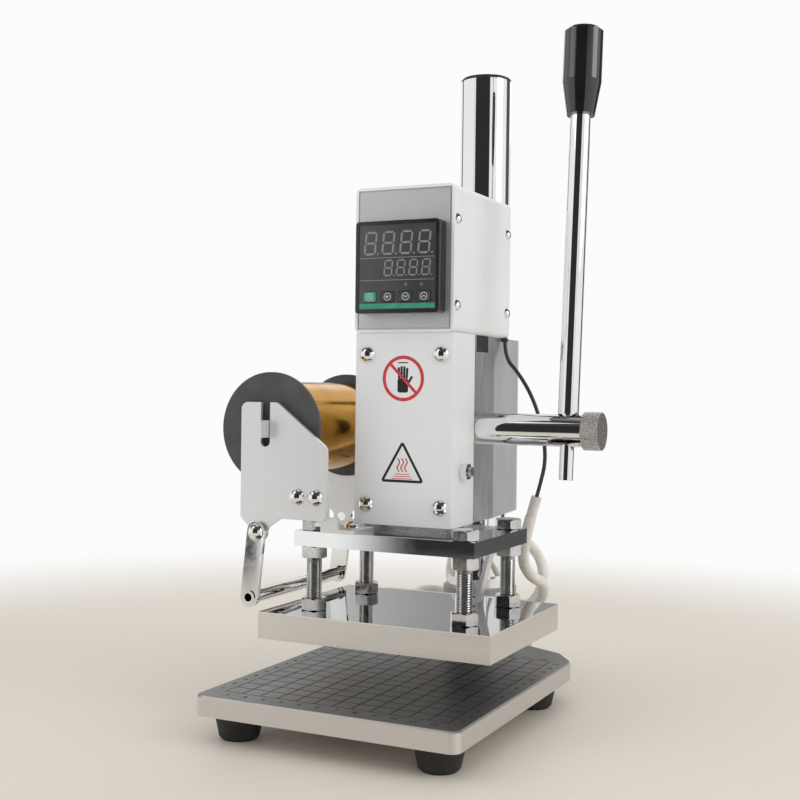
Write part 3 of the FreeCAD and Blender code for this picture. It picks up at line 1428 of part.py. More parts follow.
make_base_plate()
make_feet()
make_column()
make_head_body()
make_head_fittings()
make_guide_block()
make_gibs()
make_bushes()
make_shaft()
make_lever()
make_pinion()
make_ram()
make_adaptor_plate()
make_heating_plate()
make_terminal_cover()
make_levelling_bolts()
make_plate_stay()
make_bracket()
make_roll()
make_arms()
make_box_shell()
make_box_panels()
make_controller()
make_power_board()
make_mains_inlet()
make_leads()

doc.recompute()
for item in doc.Objects:
    if "Invalid" in item.State or "Error" in item.State:
        raise RuntimeError(f"{item.Name} is {item.State}")
for item in subparts:
    if item.Shape.isNull() or not item.Shape.isValid() or item.Shape.Volume <= 0:
        raise RuntimeError(f"{item.Label} has no valid shape")

os.makedirs("parts", exist_ok=True)
for item in subparts:
    item.Shape.exportStep(f"parts/{item.Label}.step")
print(len(subparts), "sub-parts written")
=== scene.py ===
import bpy
import bmesh
import math
from mathutils import Matrix, Vector


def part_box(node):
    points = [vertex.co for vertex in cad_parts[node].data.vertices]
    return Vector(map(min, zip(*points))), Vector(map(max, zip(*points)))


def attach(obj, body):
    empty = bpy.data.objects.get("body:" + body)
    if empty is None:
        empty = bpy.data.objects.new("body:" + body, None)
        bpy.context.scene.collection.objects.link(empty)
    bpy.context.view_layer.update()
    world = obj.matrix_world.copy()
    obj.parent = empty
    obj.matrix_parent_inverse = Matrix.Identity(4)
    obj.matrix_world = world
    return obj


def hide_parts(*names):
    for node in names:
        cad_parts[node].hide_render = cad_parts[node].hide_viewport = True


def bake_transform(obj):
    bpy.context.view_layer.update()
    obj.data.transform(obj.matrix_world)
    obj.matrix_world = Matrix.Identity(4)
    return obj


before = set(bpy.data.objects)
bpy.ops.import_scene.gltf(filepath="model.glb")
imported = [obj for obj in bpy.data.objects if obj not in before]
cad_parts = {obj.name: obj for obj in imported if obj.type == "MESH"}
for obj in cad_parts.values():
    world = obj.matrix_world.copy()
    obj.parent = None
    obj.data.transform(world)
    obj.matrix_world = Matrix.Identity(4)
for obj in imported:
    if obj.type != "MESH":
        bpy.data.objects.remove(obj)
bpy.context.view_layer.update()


# ---- The camera
# It stands a little to the lever's side at the height of the plates, and looks level.
camera = bpy.data.objects.new("camera", bpy.data.cameras.new("camera"))
bpy.context.scene.collection.objects.link(camera)
camera.data.lens = 54.85
camera.matrix_world = (Matrix.Translation((0.2774, -0.5690, 0.1732))
                       @ Matrix.Rotation(math.radians(25.893), 4, "Z")
                       @ Matrix.Rotation(math.radians(90 - 0.550), 4, "X")
                       @ Matrix.Rotation(math.radians(0.713), 4, "Z"))
bpy.context.scene.camera = camera


# ---- Controller lead
# A thin two-core lead with a dark extruded PVC jacket. It leaves the control box through
# a gland, hangs in a bow beside the head and ends in the splice, which moves with the ram.
def route_line(name, points, resolution=12):
    """A smooth open line through the air, with the route's points as its controls."""
    line = bpy.data.curves.new(name, "CURVE")
    line.dimensions = "3D"
    line.resolution_u = resolution
    spline = line.splines.new("NURBS")
    spline.points.add(len(points) - 1)
    for point, place in zip(spline.points, points):
        point.co = (*place, 1)
    spline.order_u = 3
    spline.use_endpoint_u = True
    piece = bpy.data.objects.new(name, line)
    bpy.context.scene.collection.objects.link(piece)
    return piece


def finish(name, colour, metal, rough, **sockets):
    """A plain surface of one colour; the grain and tints are added to it."""
    material = bpy.data.materials.new(name)
    material.use_nodes = True
    shader = material.node_tree.nodes["Principled BSDF"]
    shader.inputs["Base Color"].default_value = (*colour, 1)
    shader.inputs["Metallic"].default_value = metal
    shader.inputs["Roughness"].default_value = rough
    for socket, value in sockets.items():
        shader.inputs[socket.replace("_", " ")].default_value = value
    return material


def noise(material, scale, stretch=(1, 1, 1), detail=4):
    """Cloudy noise fixed to the piece, stretched along the way it was worked."""
    tree = material.node_tree
    coords = tree.nodes.new("ShaderNodeTexCoord")
    mapping = tree.nodes.new("ShaderNodeMapping")
    mapping.inputs["Scale"].default_value = stretch
    texture = tree.nodes.new("ShaderNodeTexNoise")
    texture.inputs["Scale"].default_value = scale
    texture.inputs["Detail"].default_value = detail
    tree.links.new(coords.outputs["Object"], mapping.inputs["Vector"])
    tree.links.new(mapping.outputs["Vector"], texture.inputs["Vector"])
    return texture.outputs["Fac"]


def vary(material, socket, low, high, scale, stretch=(1, 1, 1)):
    """Lets one value of the surface drift between two limits."""
    tree = material.node_tree
    spread = tree.nodes.new("ShaderNodeMapRange")
    spread.inputs["From Min"].default_value = 0.3
    spread.inputs["From Max"].default_value = 0.7
    spread.inputs["To Min"].default_value = low
    spread.inputs["To Max"].default_value = high
    tree.links.new(noise(material, scale, stretch), spread.inputs["Value"])
    tree.links.new(spread.outputs["Result"], tree.nodes["Principled BSDF"].inputs[socket])


def tint(material, one, two, scale, stretch=(1, 1, 1)):
    """Lets the colour drift between two near shades."""
    tree = material.node_tree
    ramp = tree.nodes.new("ShaderNodeValToRGB")
    ramp.color_ramp.elements[0].position = 0.35
    ramp.color_ramp.elements[0].color = (*one, 1)
    ramp.color_ramp.elements[1].position = 0.65
    ramp.color_ramp.elements[1].color = (*two, 1)
    tree.links.new(noise(material, scale, stretch), ramp.inputs["Fac"])
    tree.links.new(ramp.outputs["Color"], tree.nodes["Principled BSDF"].inputs["Base Color"])


def grain(material, scale, depth, stretch=(1, 1, 1)):
    """Raises the surface by a fine noise, over any grain it already has."""
    tree = material.node_tree
    normal = tree.nodes["Principled BSDF"].inputs["Normal"]
    bump = tree.nodes.new("ShaderNodeBump")
    bump.inputs["Distance"].default_value = depth
    if normal.is_linked:
        tree.links.new(normal.links[0].from_socket, bump.inputs["Normal"])
    tree.links.new(noise(material, scale, stretch), bump.inputs["Height"])
    tree.links.new(bump.outputs["Normal"], normal)


jacket = finish("jacket_pvc", (0.04, 0.037, 0.033), 0, 0.35)
tint(jacket, (0.032, 0.030, 0.028), (0.055, 0.050, 0.044), 120)
vary(jacket, "Roughness", 0.28, 0.45, 400)
grain(jacket, 2500, 0.00002)

controller_route = [
    (0.0266, 0.084, 0.2025), (0.0266, 0.084, 0.1915), (0.0355, 0.0836, 0.1825), (0.0445, 0.083, 0.1685),
    (0.0508, 0.0824, 0.1505), (0.0528, 0.082, 0.134), (0.05015, 0.08223, 0.122), (0.0475, 0.0825, 0.113),
]
controller_line = route_line("controller_line", controller_route, 16)
bare = bpy.data.meshes.new_from_object(controller_line)
controller_line.data.bevel_depth = 0.0011
controller_line.data.bevel_resolution = 4
controller_line.data.use_fill_caps = True
bpy.context.view_layer.update()
swept = controller_line.evaluated_get(bpy.context.evaluated_depsgraph_get())
controller_lead = bpy.data.objects.new("controller_lead_jacket", bpy.data.meshes.new_from_object(swept))
bpy.context.scene.collection.objects.link(controller_lead)
bpy.data.objects.remove(controller_line)
controller_lead.data.materials.clear()
controller_lead.data.materials.append(jacket)
controller_lead.data.shade_smooth()
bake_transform(controller_lead)
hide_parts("controller_lead")


# ---- Heater lead
# The same wires in a thick heat-proof sleeve of white silicone-varnished glass braid. It
# runs from the splice in a loose loop behind the column to the cover on the heating plate.
sleeve = finish("sleeve_braid", (0.80, 0.77, 0.71), 0, 0.55, Subsurface_Weight=0.05)
tint(sleeve, (0.74, 0.71, 0.65), (0.84, 0.82, 0.77), 160)
vary(sleeve, "Roughness", 0.42, 0.66, 700)
grain(sleeve, 1600, 0.00010, (1, 1, 0.6))

heater_route = [
    (0.04412, 0.08284, 0.1015), (0.03762, 0.08349, 0.0794), (0.037, 0.103, 0.064),
    (0.038, 0.129, 0.057), (0.027, 0.149, 0.039), (0.000, 0.149, 0.026),
    (-0.027, 0.148, 0.036), (-0.036, 0.1485, 0.061), (-0.020, 0.150, 0.084),
    (0.008, 0.152, 0.086), (0.029, 0.155, 0.066), (0.023, 0.157, 0.039),
    (-0.003, 0.156, 0.030), (-0.028, 0.147, 0.042), (-0.036, 0.124, 0.048),
    (-0.033, 0.100, 0.050), (-0.030, 0.0778, 0.049),
]
heater_lead = route_line("heater_lead_sleeve", heater_route)
heater_lead.data.bevel_depth = 0.00325
heater_lead.data.bevel_resolution = 6
heater_lead.data.use_fill_caps = True
heater_lead.data.materials.append(sleeve)
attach(heater_lead, "ram")
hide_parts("heater_lead")


def dress(material, *nodes):
    """Puts a finish on the machined pieces that wear it."""
    for node in nodes:
        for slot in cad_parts[node].material_slots:
            slot.material = material


# ---- Splice and gland
# The splice is heat-shrink tube over the crimped joint, and the gland is a moulded
# nylon grommet pushed into the box's floor.
shrink = finish("heat_shrink", (0.72, 0.70, 0.66), 0, 0.38)
tint(shrink, (0.66, 0.64, 0.60), (0.76, 0.74, 0.70), 200)
vary(shrink, "Roughness", 0.30, 0.5, 500)
grain(shrink, 900, 0.00008, (1, 1, 0.3))
dress(shrink, "lead_splice")

black_nylon = finish("black_nylon", (0.018, 0.018, 0.019), 0, 0.45)
tint(black_nylon, (0.014, 0.014, 0.015), (0.028, 0.028, 0.029), 90)
vary(black_nylon, "Roughness", 0.36, 0.55, 600)
grain(black_nylon, 3000, 0.00002)
dress(black_nylon, "lead_gland", "side_plug", "column_cap", "mains_inlet")


# ---- The studio
# A pale floor and a soft white surround. Dark cards stand round it, and one hangs overhead.
# They show only in polished surfaces, and give bright metal its black bands.
studio = bpy.data.worlds.new("studio")
bpy.context.scene.world = studio
bpy.context.scene.view_settings.view_transform = "Standard"
studio.use_nodes = True


def figure(tree, operation, *values):
    """One step of arithmetic on sockets or numbers, as a socket."""
    node = tree.nodes.new("ShaderNodeMath")
    node.operation = operation
    for index, value in enumerate(values):
        if isinstance(value, bpy.types.NodeSocket):
            tree.links.new(value, node.inputs[index])
        else:
            node.inputs[index].default_value = value
    return node.outputs[0]


def between(tree, value, low, high, edge):
    """1 where a value lies between two limits, with soft edges."""
    masks = []
    for start, stop in ((low - edge, low + edge), (high + edge, high - edge)):
        ramp = tree.nodes.new("ShaderNodeMapRange")
        ramp.interpolation_type = "SMOOTHSTEP"
        ramp.inputs["From Min"].default_value = start
        ramp.inputs["From Max"].default_value = stop
        tree.links.new(value, ramp.inputs["Value"])
        masks.append(ramp.outputs["Result"])
    return figure(tree, "MULTIPLY", *masks)


tree = studio.node_tree
sky = tree.nodes["Background"]
direction = tree.nodes.new("ShaderNodeTexCoord")
parts = tree.nodes.new("ShaderNodeSeparateXYZ")
tree.links.new(direction.outputs["Generated"], parts.inputs[0])
east, north, up = parts.outputs
bearing = figure(tree, "ARCTAN2", east, figure(tree, "MULTIPLY", north, -1.0))


def hang_card(low, high, foot, ceiling, edge, dark):
    """A dark card between two bearings and two heights, in radians and sines."""
    width = between(tree, bearing, low, high, edge)
    card = figure(tree, "MULTIPLY", width, between(tree, up, foot, ceiling, edge))
    return figure(tree, "MULTIPLY", card, dark)


cards = hang_card(-0.47, 0.70, -0.6, 0.6, 0.035, 0.97)
for card in (hang_card(-4.0, 4.0, 0.42, 0.97, 0.05, 0.93),
             hang_card(0.93, 0.97, -0.6, 0.5, 0.01, 0.8),
             hang_card(-2.05, -1.86, -0.6, 0.5, 0.02, 0.85),
             hang_card(2.30, 2.95, -0.6, 0.5, 0.02, 0.9),
             hang_card(-0.580, -0.5665, -0.6, 0.3, 0.002, 0.95),
             hang_card(-3.05, -2.62, -0.6, 0.5, 0.14, 0.62)):
    cards = figure(tree, "MAXIMUM", cards, card)
rays = tree.nodes.new("ShaderNodeLightPath")
mirrored = figure(tree, "MULTIPLY", cards, rays.outputs["Is Glossy Ray"])
surround = figure(tree, "SUBTRACT", 1.0, mirrored)
lit = figure(tree, "MULTIPLY_ADD", rays.outputs["Is Camera Ray"], 0.05, 0.93)
tree.links.new(figure(tree, "MULTIPLY", surround, lit), sky.inputs["Strength"])
sky.inputs["Color"].default_value = (0.985, 0.99, 0.985, 1)

floor_mesh = bmesh.new()
bmesh.ops.create_grid(floor_mesh, x_segments=8, y_segments=8, size=0.8)
floor = bpy.data.objects.new("floor", bpy.data.meshes.new("floor"))
floor_mesh.to_mesh(floor.data)
floor_mesh.free()
bpy.context.scene.collection.objects.link(floor)
pale_floor = finish("pale_floor", (0.72, 0.66, 0.58), 0, 0.5)
tint(pale_floor, (0.71, 0.65, 0.57), (0.73, 0.67, 0.595), 3)
tree = pale_floor.node_tree
coords = tree.nodes.new("ShaderNodeTexCoord")
away = tree.nodes.new("ShaderNodeVectorMath")
away.operation = "LENGTH"
tree.links.new(coords.outputs["Object"], away.inputs[0])
fade = tree.nodes.new("ShaderNodeMapRange")
fade.interpolation_type = "SMOOTHSTEP"
fade.inputs["From Min"].default_value = 0.34
fade.inputs["From Max"].default_value = 0.72
tree.links.new(away.outputs["Value"], fade.inputs["Value"])
open_air = tree.nodes.new("ShaderNodeBsdfTransparent")
rim_mix = tree.nodes.new("ShaderNodeMixShader")
tree.links.new(fade.outputs["Result"], rim_mix.inputs[0])
tree.links.new(tree.nodes["Principled BSDF"].outputs[0], rim_mix.inputs[1])
tree.links.new(open_air.outputs[0], rim_mix.inputs[2])
tree.links.new(rim_mix.outputs[0], tree.nodes["Material Output"].inputs["Surface"])
floor.data.materials.append(pale_floor)

for name, place, size, watts in (("key_softbox", (-0.75, -0.65, 1.05), 0.7, 1.6),
                                 ("side_softbox", (1.15, 0.10, 0.75), 0.6, 3.2),
                                 ("back_softbox", (-0.2, 1.1, 0.9), 0.8, 1.5)):
    lamp = bpy.data.lights.new(name, "AREA")
    lamp.size = size
    lamp.energy = watts
    softbox = bpy.data.objects.new(name, lamp)
    bpy.context.scene.collection.objects.link(softbox)
    aim = (Vector((0, 0.03, 0.15)) - Vector(place)).to_track_quat("-Z", "Y")
    softbox.matrix_world = Matrix.Translation(place) @ aim.to_matrix().to_4x4()


# ---- Base plate
# A 10 mm aluminium plate with bevelled bright edges. Its top is anodised dark grey and
# printed with a black centimetre grid.
def axes_of(tree):
    """The three coordinates of a point on a piece, as sockets."""
    coords = tree.nodes.new("ShaderNodeTexCoord")
    parts = tree.nodes.new("ShaderNodeSeparateXYZ")
    tree.links.new(coords.outputs["Object"], parts.inputs[0])
    return parts.outputs


def lay_over(tree, shown, mask, colour):
    """Covers what is shown with a colour wherever the mask is 1."""
    blend = tree.nodes.new("ShaderNodeMix")
    blend.data_type = "RGBA"
    tree.links.new(mask, blend.inputs["Factor"])
    tree.links.new(shown, blend.inputs["A"])
    blend.inputs["B"].default_value = (*colour, 1)
    return blend.outputs["Result"]


table_top = finish("table_anodised", (0.32, 0.32, 0.325), 0.85, 0.3)
grain(table_top, 2200, 0.00001)
tree = table_top.node_tree
shader = tree.nodes["Principled BSDF"]
x, y, z = axes_of(tree)
cell = 0.010
grid_y = 0.003
grid_half_wide, grid_half_deep = 6 * cell, 7 * cell
line_half = 0.00036
line_end = 0.0002
depth = figure(tree, "ADD", y, grid_half_deep - grid_y)
from_middle = figure(tree, "ABSOLUTE", figure(tree, "SUBTRACT", y, grid_y))
across = figure(tree, "LESS_THAN", figure(tree, "PINGPONG", x, cell / 2), line_half)
along = figure(tree, "LESS_THAN", figure(tree, "PINGPONG", depth, cell / 2), line_half)
in_width = figure(tree, "LESS_THAN", figure(tree, "ABSOLUTE", x), grid_half_wide + line_end)
in_depth = figure(tree, "LESS_THAN", from_middle, grid_half_deep + line_end)
inside = figure(tree, "MULTIPLY", in_width, in_depth)
grid = figure(tree, "MULTIPLY", figure(tree, "MAXIMUM", across, along), inside)
top = figure(tree, "GREATER_THAN", z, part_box("base_plate")[1].z - 0.00005)
ink = figure(tree, "MULTIPLY", grid, top)
anodised = tree.nodes.new("ShaderNodeValToRGB")
anodised.color_ramp.elements[0].color = (0.22, 0.215, 0.21, 1)
anodised.color_ramp.elements[1].color = (0.30, 0.295, 0.29, 1)
tree.links.new(noise(table_top, 55), anodised.inputs["Fac"])
edges = figure(tree, "SUBTRACT", 1.0, top)
shown = lay_over(tree, anodised.outputs["Color"], edges, (0.70, 0.675, 0.65))
shown = lay_over(tree, shown, ink, (0.012, 0.012, 0.013))
tree.links.new(shown, shader.inputs["Base Color"])
bare_metal = figure(tree, "SUBTRACT", 0.95, figure(tree, "MULTIPLY", ink, 0.9))
tree.links.new(bare_metal, shader.inputs["Metallic"])
worn = figure(tree, "MULTIPLY_ADD", noise(table_top, 260), 0.16, 0.27)
tree.links.new(figure(tree, "MAXIMUM", worn, figure(tree, "MULTIPLY", ink, 0.8)), shader.inputs["Roughness"])
dress(table_top, "base_plate")


# ---- Grid numbers
# Centimetre numbers in black screen ink, in the margins on all four sides of the grid.
def place_mesh(name, shape, material, body, thick=0.0, at=Matrix.Identity(4)):
    """Moves a finished flat or solid shape into its place and lets it ride on its body."""
    if thick:
        bmesh.ops.solidify(shape, geom=shape.faces[:], thickness=thick)
    bmesh.ops.transform(shape, matrix=at, verts=shape.verts)
    bmesh.ops.recalc_face_normals(shape, faces=shape.faces)
    piece = bpy.data.objects.new(name, bpy.data.meshes.new(name))
    shape.to_mesh(piece.data)
    shape.free()
    piece.data.materials.append(material)
    bpy.context.scene.collection.objects.link(piece)
    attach(piece, body)
    return piece


screen_ink = finish("screen_ink", (0.012, 0.012, 0.013), 0, 0.5)
tint(screen_ink, (0.010, 0.010, 0.011), (0.018, 0.018, 0.019), 500)
vary(screen_ink, "Roughness", 0.42, 0.6, 900)

numbers = bmesh.new()
first_x = cell / 2 - grid_half_wide
first_y = grid_y + cell / 2 - grid_half_deep
front_row, back_row = -0.0722, 0.0765
side_column = 0.0645
places = [(count, (first_x + cell * count, row)) for count in range(12) for row in (front_row, back_row)]
places += [(count, (side, first_y + cell * count))
           for count in range(14) for side in (-side_column, side_column)]
for count, (x, y) in places:
    writing = bpy.data.curves.new("number", "FONT")
    writing.body = str(count + 1)
    writing.size = 0.0040
    writing.offset = 0.00012
    writing.align_x = "CENTER"
    writing.align_y = "CENTER"
    writing.resolution_u = 3
    carrier = bpy.data.objects.new("number", writing)
    bpy.context.scene.collection.objects.link(carrier)
    bpy.context.view_layer.update()
    drawn = carrier.evaluated_get(bpy.context.evaluated_depsgraph_get())
    outline = bpy.data.meshes.new_from_object(drawn)
    outline.transform(Matrix.Translation((x, y, 0)))
    numbers.from_mesh(outline)
    bpy.data.objects.remove(carrier)
table_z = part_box("base_plate")[1].z
bmesh.ops.remove_doubles(numbers, verts=numbers.verts, dist=0.000001)
place_mesh("grid_numbers", numbers, screen_ink, "stand", thick=0.00002,
           at=Matrix.Translation((0, 0, table_z + 0.00003)))


# ---- Feet
# Four moulded rubber feet, each held by a pan screw in its recess.
rubber = finish("foot_rubber", (0.016, 0.016, 0.016), 0, 0.62)
tint(rubber, (0.012, 0.012, 0.012), (0.024, 0.023, 0.023), 60)
vary(rubber, "Roughness", 0.52, 0.72, 180)
grain(rubber, 1800, 0.00005)
dress(rubber, "feet")

machined = finish("machined_steel", (0.58, 0.58, 0.59), 1, 0.28)
tint(machined, (0.50, 0.50, 0.51), (0.64, 0.64, 0.65), 150, (1, 1, 8))
vary(machined, "Roughness", 0.20, 0.36, 700, (1, 1, 10))
grain(machined, 900, 0.000015, (1, 1, 14))
dress(machined, "foot_screws", "clamp_screws", "gib_screws", "shaft_clip", "pinion", "pinion_pin",
      "ram", "ram_screws")


# ---- Column
# A ground and hard-chromed tube in a painted cast socket, with a bright ring over it.
chrome = finish("bright_chrome", (0.86, 0.86, 0.87), 1, 0.035)
tint(chrome, (0.84, 0.84, 0.855), (0.89, 0.885, 0.88), 30)
vary(chrome, "Roughness", 0.02, 0.06, 220)
grain(chrome, 60, 0.000004)
dress(chrome, "column", "socket_ring", "pinion_shaft", "lever_rod", "adaptor_plate", "guide_arms",
      "guide_tube", "block_screws", "box_screws", "bracket_screws", "pivot_screws", "gib_nuts")

cast_paint = finish("socket_paint", (0.45, 0.45, 0.47), 0.1, 0.42)
tint(cast_paint, (0.42, 0.42, 0.44), (0.49, 0.49, 0.51), 70)
vary(cast_paint, "Roughness", 0.34, 0.5, 300)
grain(cast_paint, 500, 0.00006)
dress(cast_paint, "column_socket")


# ---- Head
# An aluminium block sawn from bar, milled, and anodised silver, clamped round the column.
anodised_silver = finish("silver_anodising", (0.74, 0.75, 0.77), 0.9, 0.32)
tint(anodised_silver, (0.70, 0.71, 0.73), (0.79, 0.80, 0.82), 45, (1, 1, 0.3))
vary(anodised_silver, "Roughness", 0.28, 0.42, 500, (1, 1, 0.1))
grain(anodised_silver, 1500, 0.00002, (1, 1, 0.15))
dress(anodised_silver, "head_body")

bronze = finish("bush_bronze", (0.62, 0.45, 0.22), 1, 0.32)
tint(bronze, (0.55, 0.39, 0.18), (0.68, 0.51, 0.27), 120)
vary(bronze, "Roughness", 0.24, 0.42, 400)
grain(bronze, 900, 0.00002)
dress(bronze, "shaft_bushes", "gib_strips")


# ---- Guide block
# A machined aluminium block, powder-coated a pale grey, bolted to the head by four
# cross-recess screws. The ram slides in it.
pale_coat = finish("pale_powder_coat", (0.80, 0.81, 0.83), 0, 0.36, Coat_Weight=0.15, Coat_Roughness=0.2)
tint(pale_coat, (0.785, 0.795, 0.815), (0.815, 0.825, 0.845), 25)
vary(pale_coat, "Roughness", 0.32, 0.44, 180)
grain(pale_coat, 1400, 0.00004)
dress(pale_coat, "guide_block")


# ---- Hand warning
# A screen-printed round sign on the guide block: a red barred ring over a plain hand.
def bar(shape, middle, length, width, turn=0.0, corner=0.5, steps=5):
    """A flat bar with rounded or clipped ends, drawn in the plane it will be printed on."""
    made = bmesh.ops.create_grid(shape, x_segments=1, y_segments=1, size=0.5)["verts"]
    bmesh.ops.transform(shape, verts=made, matrix=Matrix.Translation((*middle, 0))
                        @ Matrix.Rotation(turn, 4, "Z") @ Matrix.Diagonal((length, width, 1, 1)))
    bmesh.ops.bevel(shape, geom=made, offset=min(length, width) * corner * 0.98, affect="VERTICES",
                    segments=steps, profile=0.5, material=-1)


def ring(shape, middle, outer, inner, steps=48):
    """A flat ring."""
    rims = [bmesh.ops.create_circle(shape, segments=steps, radius=radius)["verts"]
            for radius in (outer, inner)]
    edges = [edge for rim in rims for edge in shape.edges
             if edge.verts[0] in rim and edge.verts[1] in rim]
    bmesh.ops.bridge_loops(shape, edges=edges)
    bmesh.ops.translate(shape, verts=rims[0] + rims[1], vec=(*middle, 0))


def facing_front(x, y, z):
    """Stands a flat drawing up against a front face, at this middle."""
    return Matrix.Translation((x, y, z)) @ Matrix.Rotation(math.radians(90), 4, "X")


block_low, block_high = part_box("guide_block")
block_face = block_low.y - 0.00001
block_x = (block_low.x + block_high.x) / 2
hand_sign_z, heat_sign_z = 0.1784, 0.1312

red_ink = finish("red_ink", (0.62, 0.03, 0.04), 0, 0.45)
tint(red_ink, (0.58, 0.025, 0.035), (0.68, 0.045, 0.05), 400)
vary(red_ink, "Roughness", 0.38, 0.55, 900)

barred = bmesh.new()
ring(barred, (0, 0), 0.0120, 0.0102)
bar(barred, (0, 0), 0.0212, 0.0016, math.radians(-45), 0.1, 2)
place_mesh("sign_barred_ring", barred, red_ink, "head", thick=0.00003,
           at=facing_front(block_x, block_face - 0.00004, hand_sign_z))

hand = bmesh.new()
bar(hand, (-0.0002, -0.0037), 0.0062, 0.0075, 0, 0.2, 4)
for index, (height, lean) in enumerate(((0.0062, 2), (0.0072, 1), (0.0070, -1), (0.0056, -3))):
    bar(hand, (-0.0025 + 0.00155 * index, 0.0022 + height * 0.1), 0.0013, height, math.radians(lean), 0.5, 4)
bar(hand, (0.0037, -0.0012), 0.0013, 0.0056, math.radians(-32), 0.5, 4)
bar(hand, (-0.0002, 0.0082), 0.0062, 0.0006, 0, 0.3, 2)
place_mesh("sign_hand", hand, screen_ink, "head", thick=0.00002,
           at=facing_front(block_x, block_face - 0.00002, hand_sign_z))


# ---- Heat warning
# A printed black-edged triangle with three red waves over a hot surface.
triangle = bmesh.new()
bmesh.ops.create_circle(triangle, cap_ends=True, segments=3, radius=0.0148)
top_corner = max(triangle.verts, key=lambda vertex: vertex.co.length)
bmesh.ops.rotate(triangle, verts=triangle.verts, cent=(0, 0, 0),
                 matrix=Matrix.Rotation(math.pi / 2 - math.atan2(top_corner.co.y, top_corner.co.x), 3, "Z"))
bmesh.ops.bevel(triangle, geom=triangle.verts[:], offset=0.0024, affect="VERTICES", segments=6,
                profile=0.5, material=-1)
inner = triangle.faces[:]
bmesh.ops.inset_individual(triangle, faces=inner, thickness=0.0014, use_even_offset=True)
bmesh.ops.delete(triangle, geom=inner, context="FACES_ONLY")
place_mesh("sign_triangle", triangle, screen_ink, "head", thick=0.00002,
           at=facing_front(block_x, block_face - 0.00002, heat_sign_z))

waves = bmesh.new()
for offset in (-0.0022, 0, 0.0022):
    made = bmesh.ops.create_grid(waves, x_segments=1, y_segments=24, size=0.5)["verts"]
    for vertex in made:
        height = vertex.co.y
        vertex.co.x = vertex.co.x * 0.0008 + offset + 0.0007 * math.sin(height * 2.4 * math.pi)
        vertex.co.y = height * 0.0072 + 0.0018
for height, width in ((-0.0030, 0.0084), (-0.0042, 0.0104), (-0.0054, 0.0124)):
    bar(waves, (0, height), width, 0.0004, 0, 0.4, 2)
place_mesh("sign_waves", waves, red_ink, "head", thick=0.00002,
           at=facing_front(block_x, block_face - 0.00002, heat_sign_z))


# ---- Control box
# A folded steel sleeve, powder-coated white, with satin end panels set in it and held by
# eight dome screws.
white_coat = finish("white_powder_coat", (0.82, 0.825, 0.835), 0, 0.38, Coat_Weight=0.1, Coat_Roughness=0.25)
tint(white_coat, (0.805, 0.81, 0.82), (0.835, 0.84, 0.85), 22)
vary(white_coat, "Roughness", 0.34, 0.46, 160)
grain(white_coat, 1300, 0.00004)
dress(white_coat, "box_shell")

panel_satin = finish("panel_satin", (0.80, 0.80, 0.82), 0.75, 0.34)
tint(panel_satin, (0.77, 0.77, 0.79), (0.83, 0.83, 0.85), 35, (1, 1, 0.4))
vary(panel_satin, "Roughness", 0.30, 0.42, 700, (0.1, 1, 1))
grain(panel_satin, 2600, 0.00001, (0.06, 1, 1))
dress(panel_satin, "front_panel", "back_panel")


# ---- Temperature controller
# A panel-mount controller: a glossy black moulded case and bezel, with a smoked window
# over two rows of unlit digits, four keys, and a green strip below them.
case_gloss = finish("case_gloss", (0.012, 0.012, 0.014), 0, 0.16, Coat_Weight=0.5, Coat_Roughness=0.06)
tint(case_gloss, (0.010, 0.010, 0.012), (0.017, 0.017, 0.019), 80)
vary(case_gloss, "Roughness", 0.13, 0.24, 400)
grain(case_gloss, 700, 0.000008)
dress(case_gloss, "controller_case")

smoked = finish("smoked_window", (0.05, 0.052, 0.058), 0, 0.14, Coat_Weight=0.6, Coat_Roughness=0.04)
tint(smoked, (0.045, 0.047, 0.053), (0.062, 0.064, 0.070), 60)
vary(smoked, "Roughness", 0.10, 0.20, 300)
grain(smoked, 120, 0.000004)
dress(smoked, "controller_window")

window_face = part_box("controller_window")[0].y - 0.00002

unlit = finish("unlit_segments", (0.22, 0.23, 0.24), 0, 0.3, Coat_Weight=0.4, Coat_Roughness=0.05)
tint(unlit, (0.20, 0.21, 0.22), (0.25, 0.26, 0.27), 300)
vary(unlit, "Roughness", 0.22, 0.38, 600)


def seven_segments(shape, across, middle, tall, wide, stroke):
    """One leaning digit with all seven bars, and its point."""
    half, quarter = tall / 2, tall / 4
    for side in (-1, 1):
        for level in (-1, 1):
            bar(shape, (across + side * wide / 2 + level * quarter * 0.1, middle + level * quarter),
                stroke, half - stroke * 0.5, math.radians(-5), 0.5, 1)
    for level in (-1, 0, 1):
        bar(shape, (across + level * half * 0.09, middle + level * half),
            wide - stroke * 0.8, stroke, 0, 0.5, 1)
    bar(shape, (across + wide / 2 + stroke * 1.3, middle - half), stroke, stroke, 0, 0.5, 3)


digits = bmesh.new()
for index in range(4):
    seven_segments(digits, -0.0154 + 0.01027 * index, 0.2485, 0.0112, 0.0060, 0.00105)
for index in range(4):
    seven_segments(digits, -0.0050 + 0.00716 * index, 0.2355, 0.0078, 0.0042, 0.00080)
for middle in (0.2408, 0.2292):
    bar(digits, (0, middle), 0.0425, 0.00035, 0, 0.2, 1)
for middle in (0.0052, 0.0140):
    ring(digits, (middle, 0.2268), 0.0008, 0.0005, 16)
place_mesh("display_segments", digits, unlit, "head", thick=0.00004,
           at=facing_front(0, window_face, 0))

green_print = finish("green_print", (0.03, 0.30, 0.19), 0, 0.3, Coat_Weight=0.4, Coat_Roughness=0.05)
tint(green_print, (0.025, 0.27, 0.17), (0.04, 0.34, 0.22), 200)
vary(green_print, "Roughness", 0.24, 0.38, 500)
strip = bmesh.new()
bar(strip, (0, 0.2158), 0.0436, 0.0026, 0, 0.08, 2)
place_mesh("display_strip", strip, green_print, "head", thick=0.00004,
           at=facing_front(0, window_face, 0))
dress(green_print, "key_1")

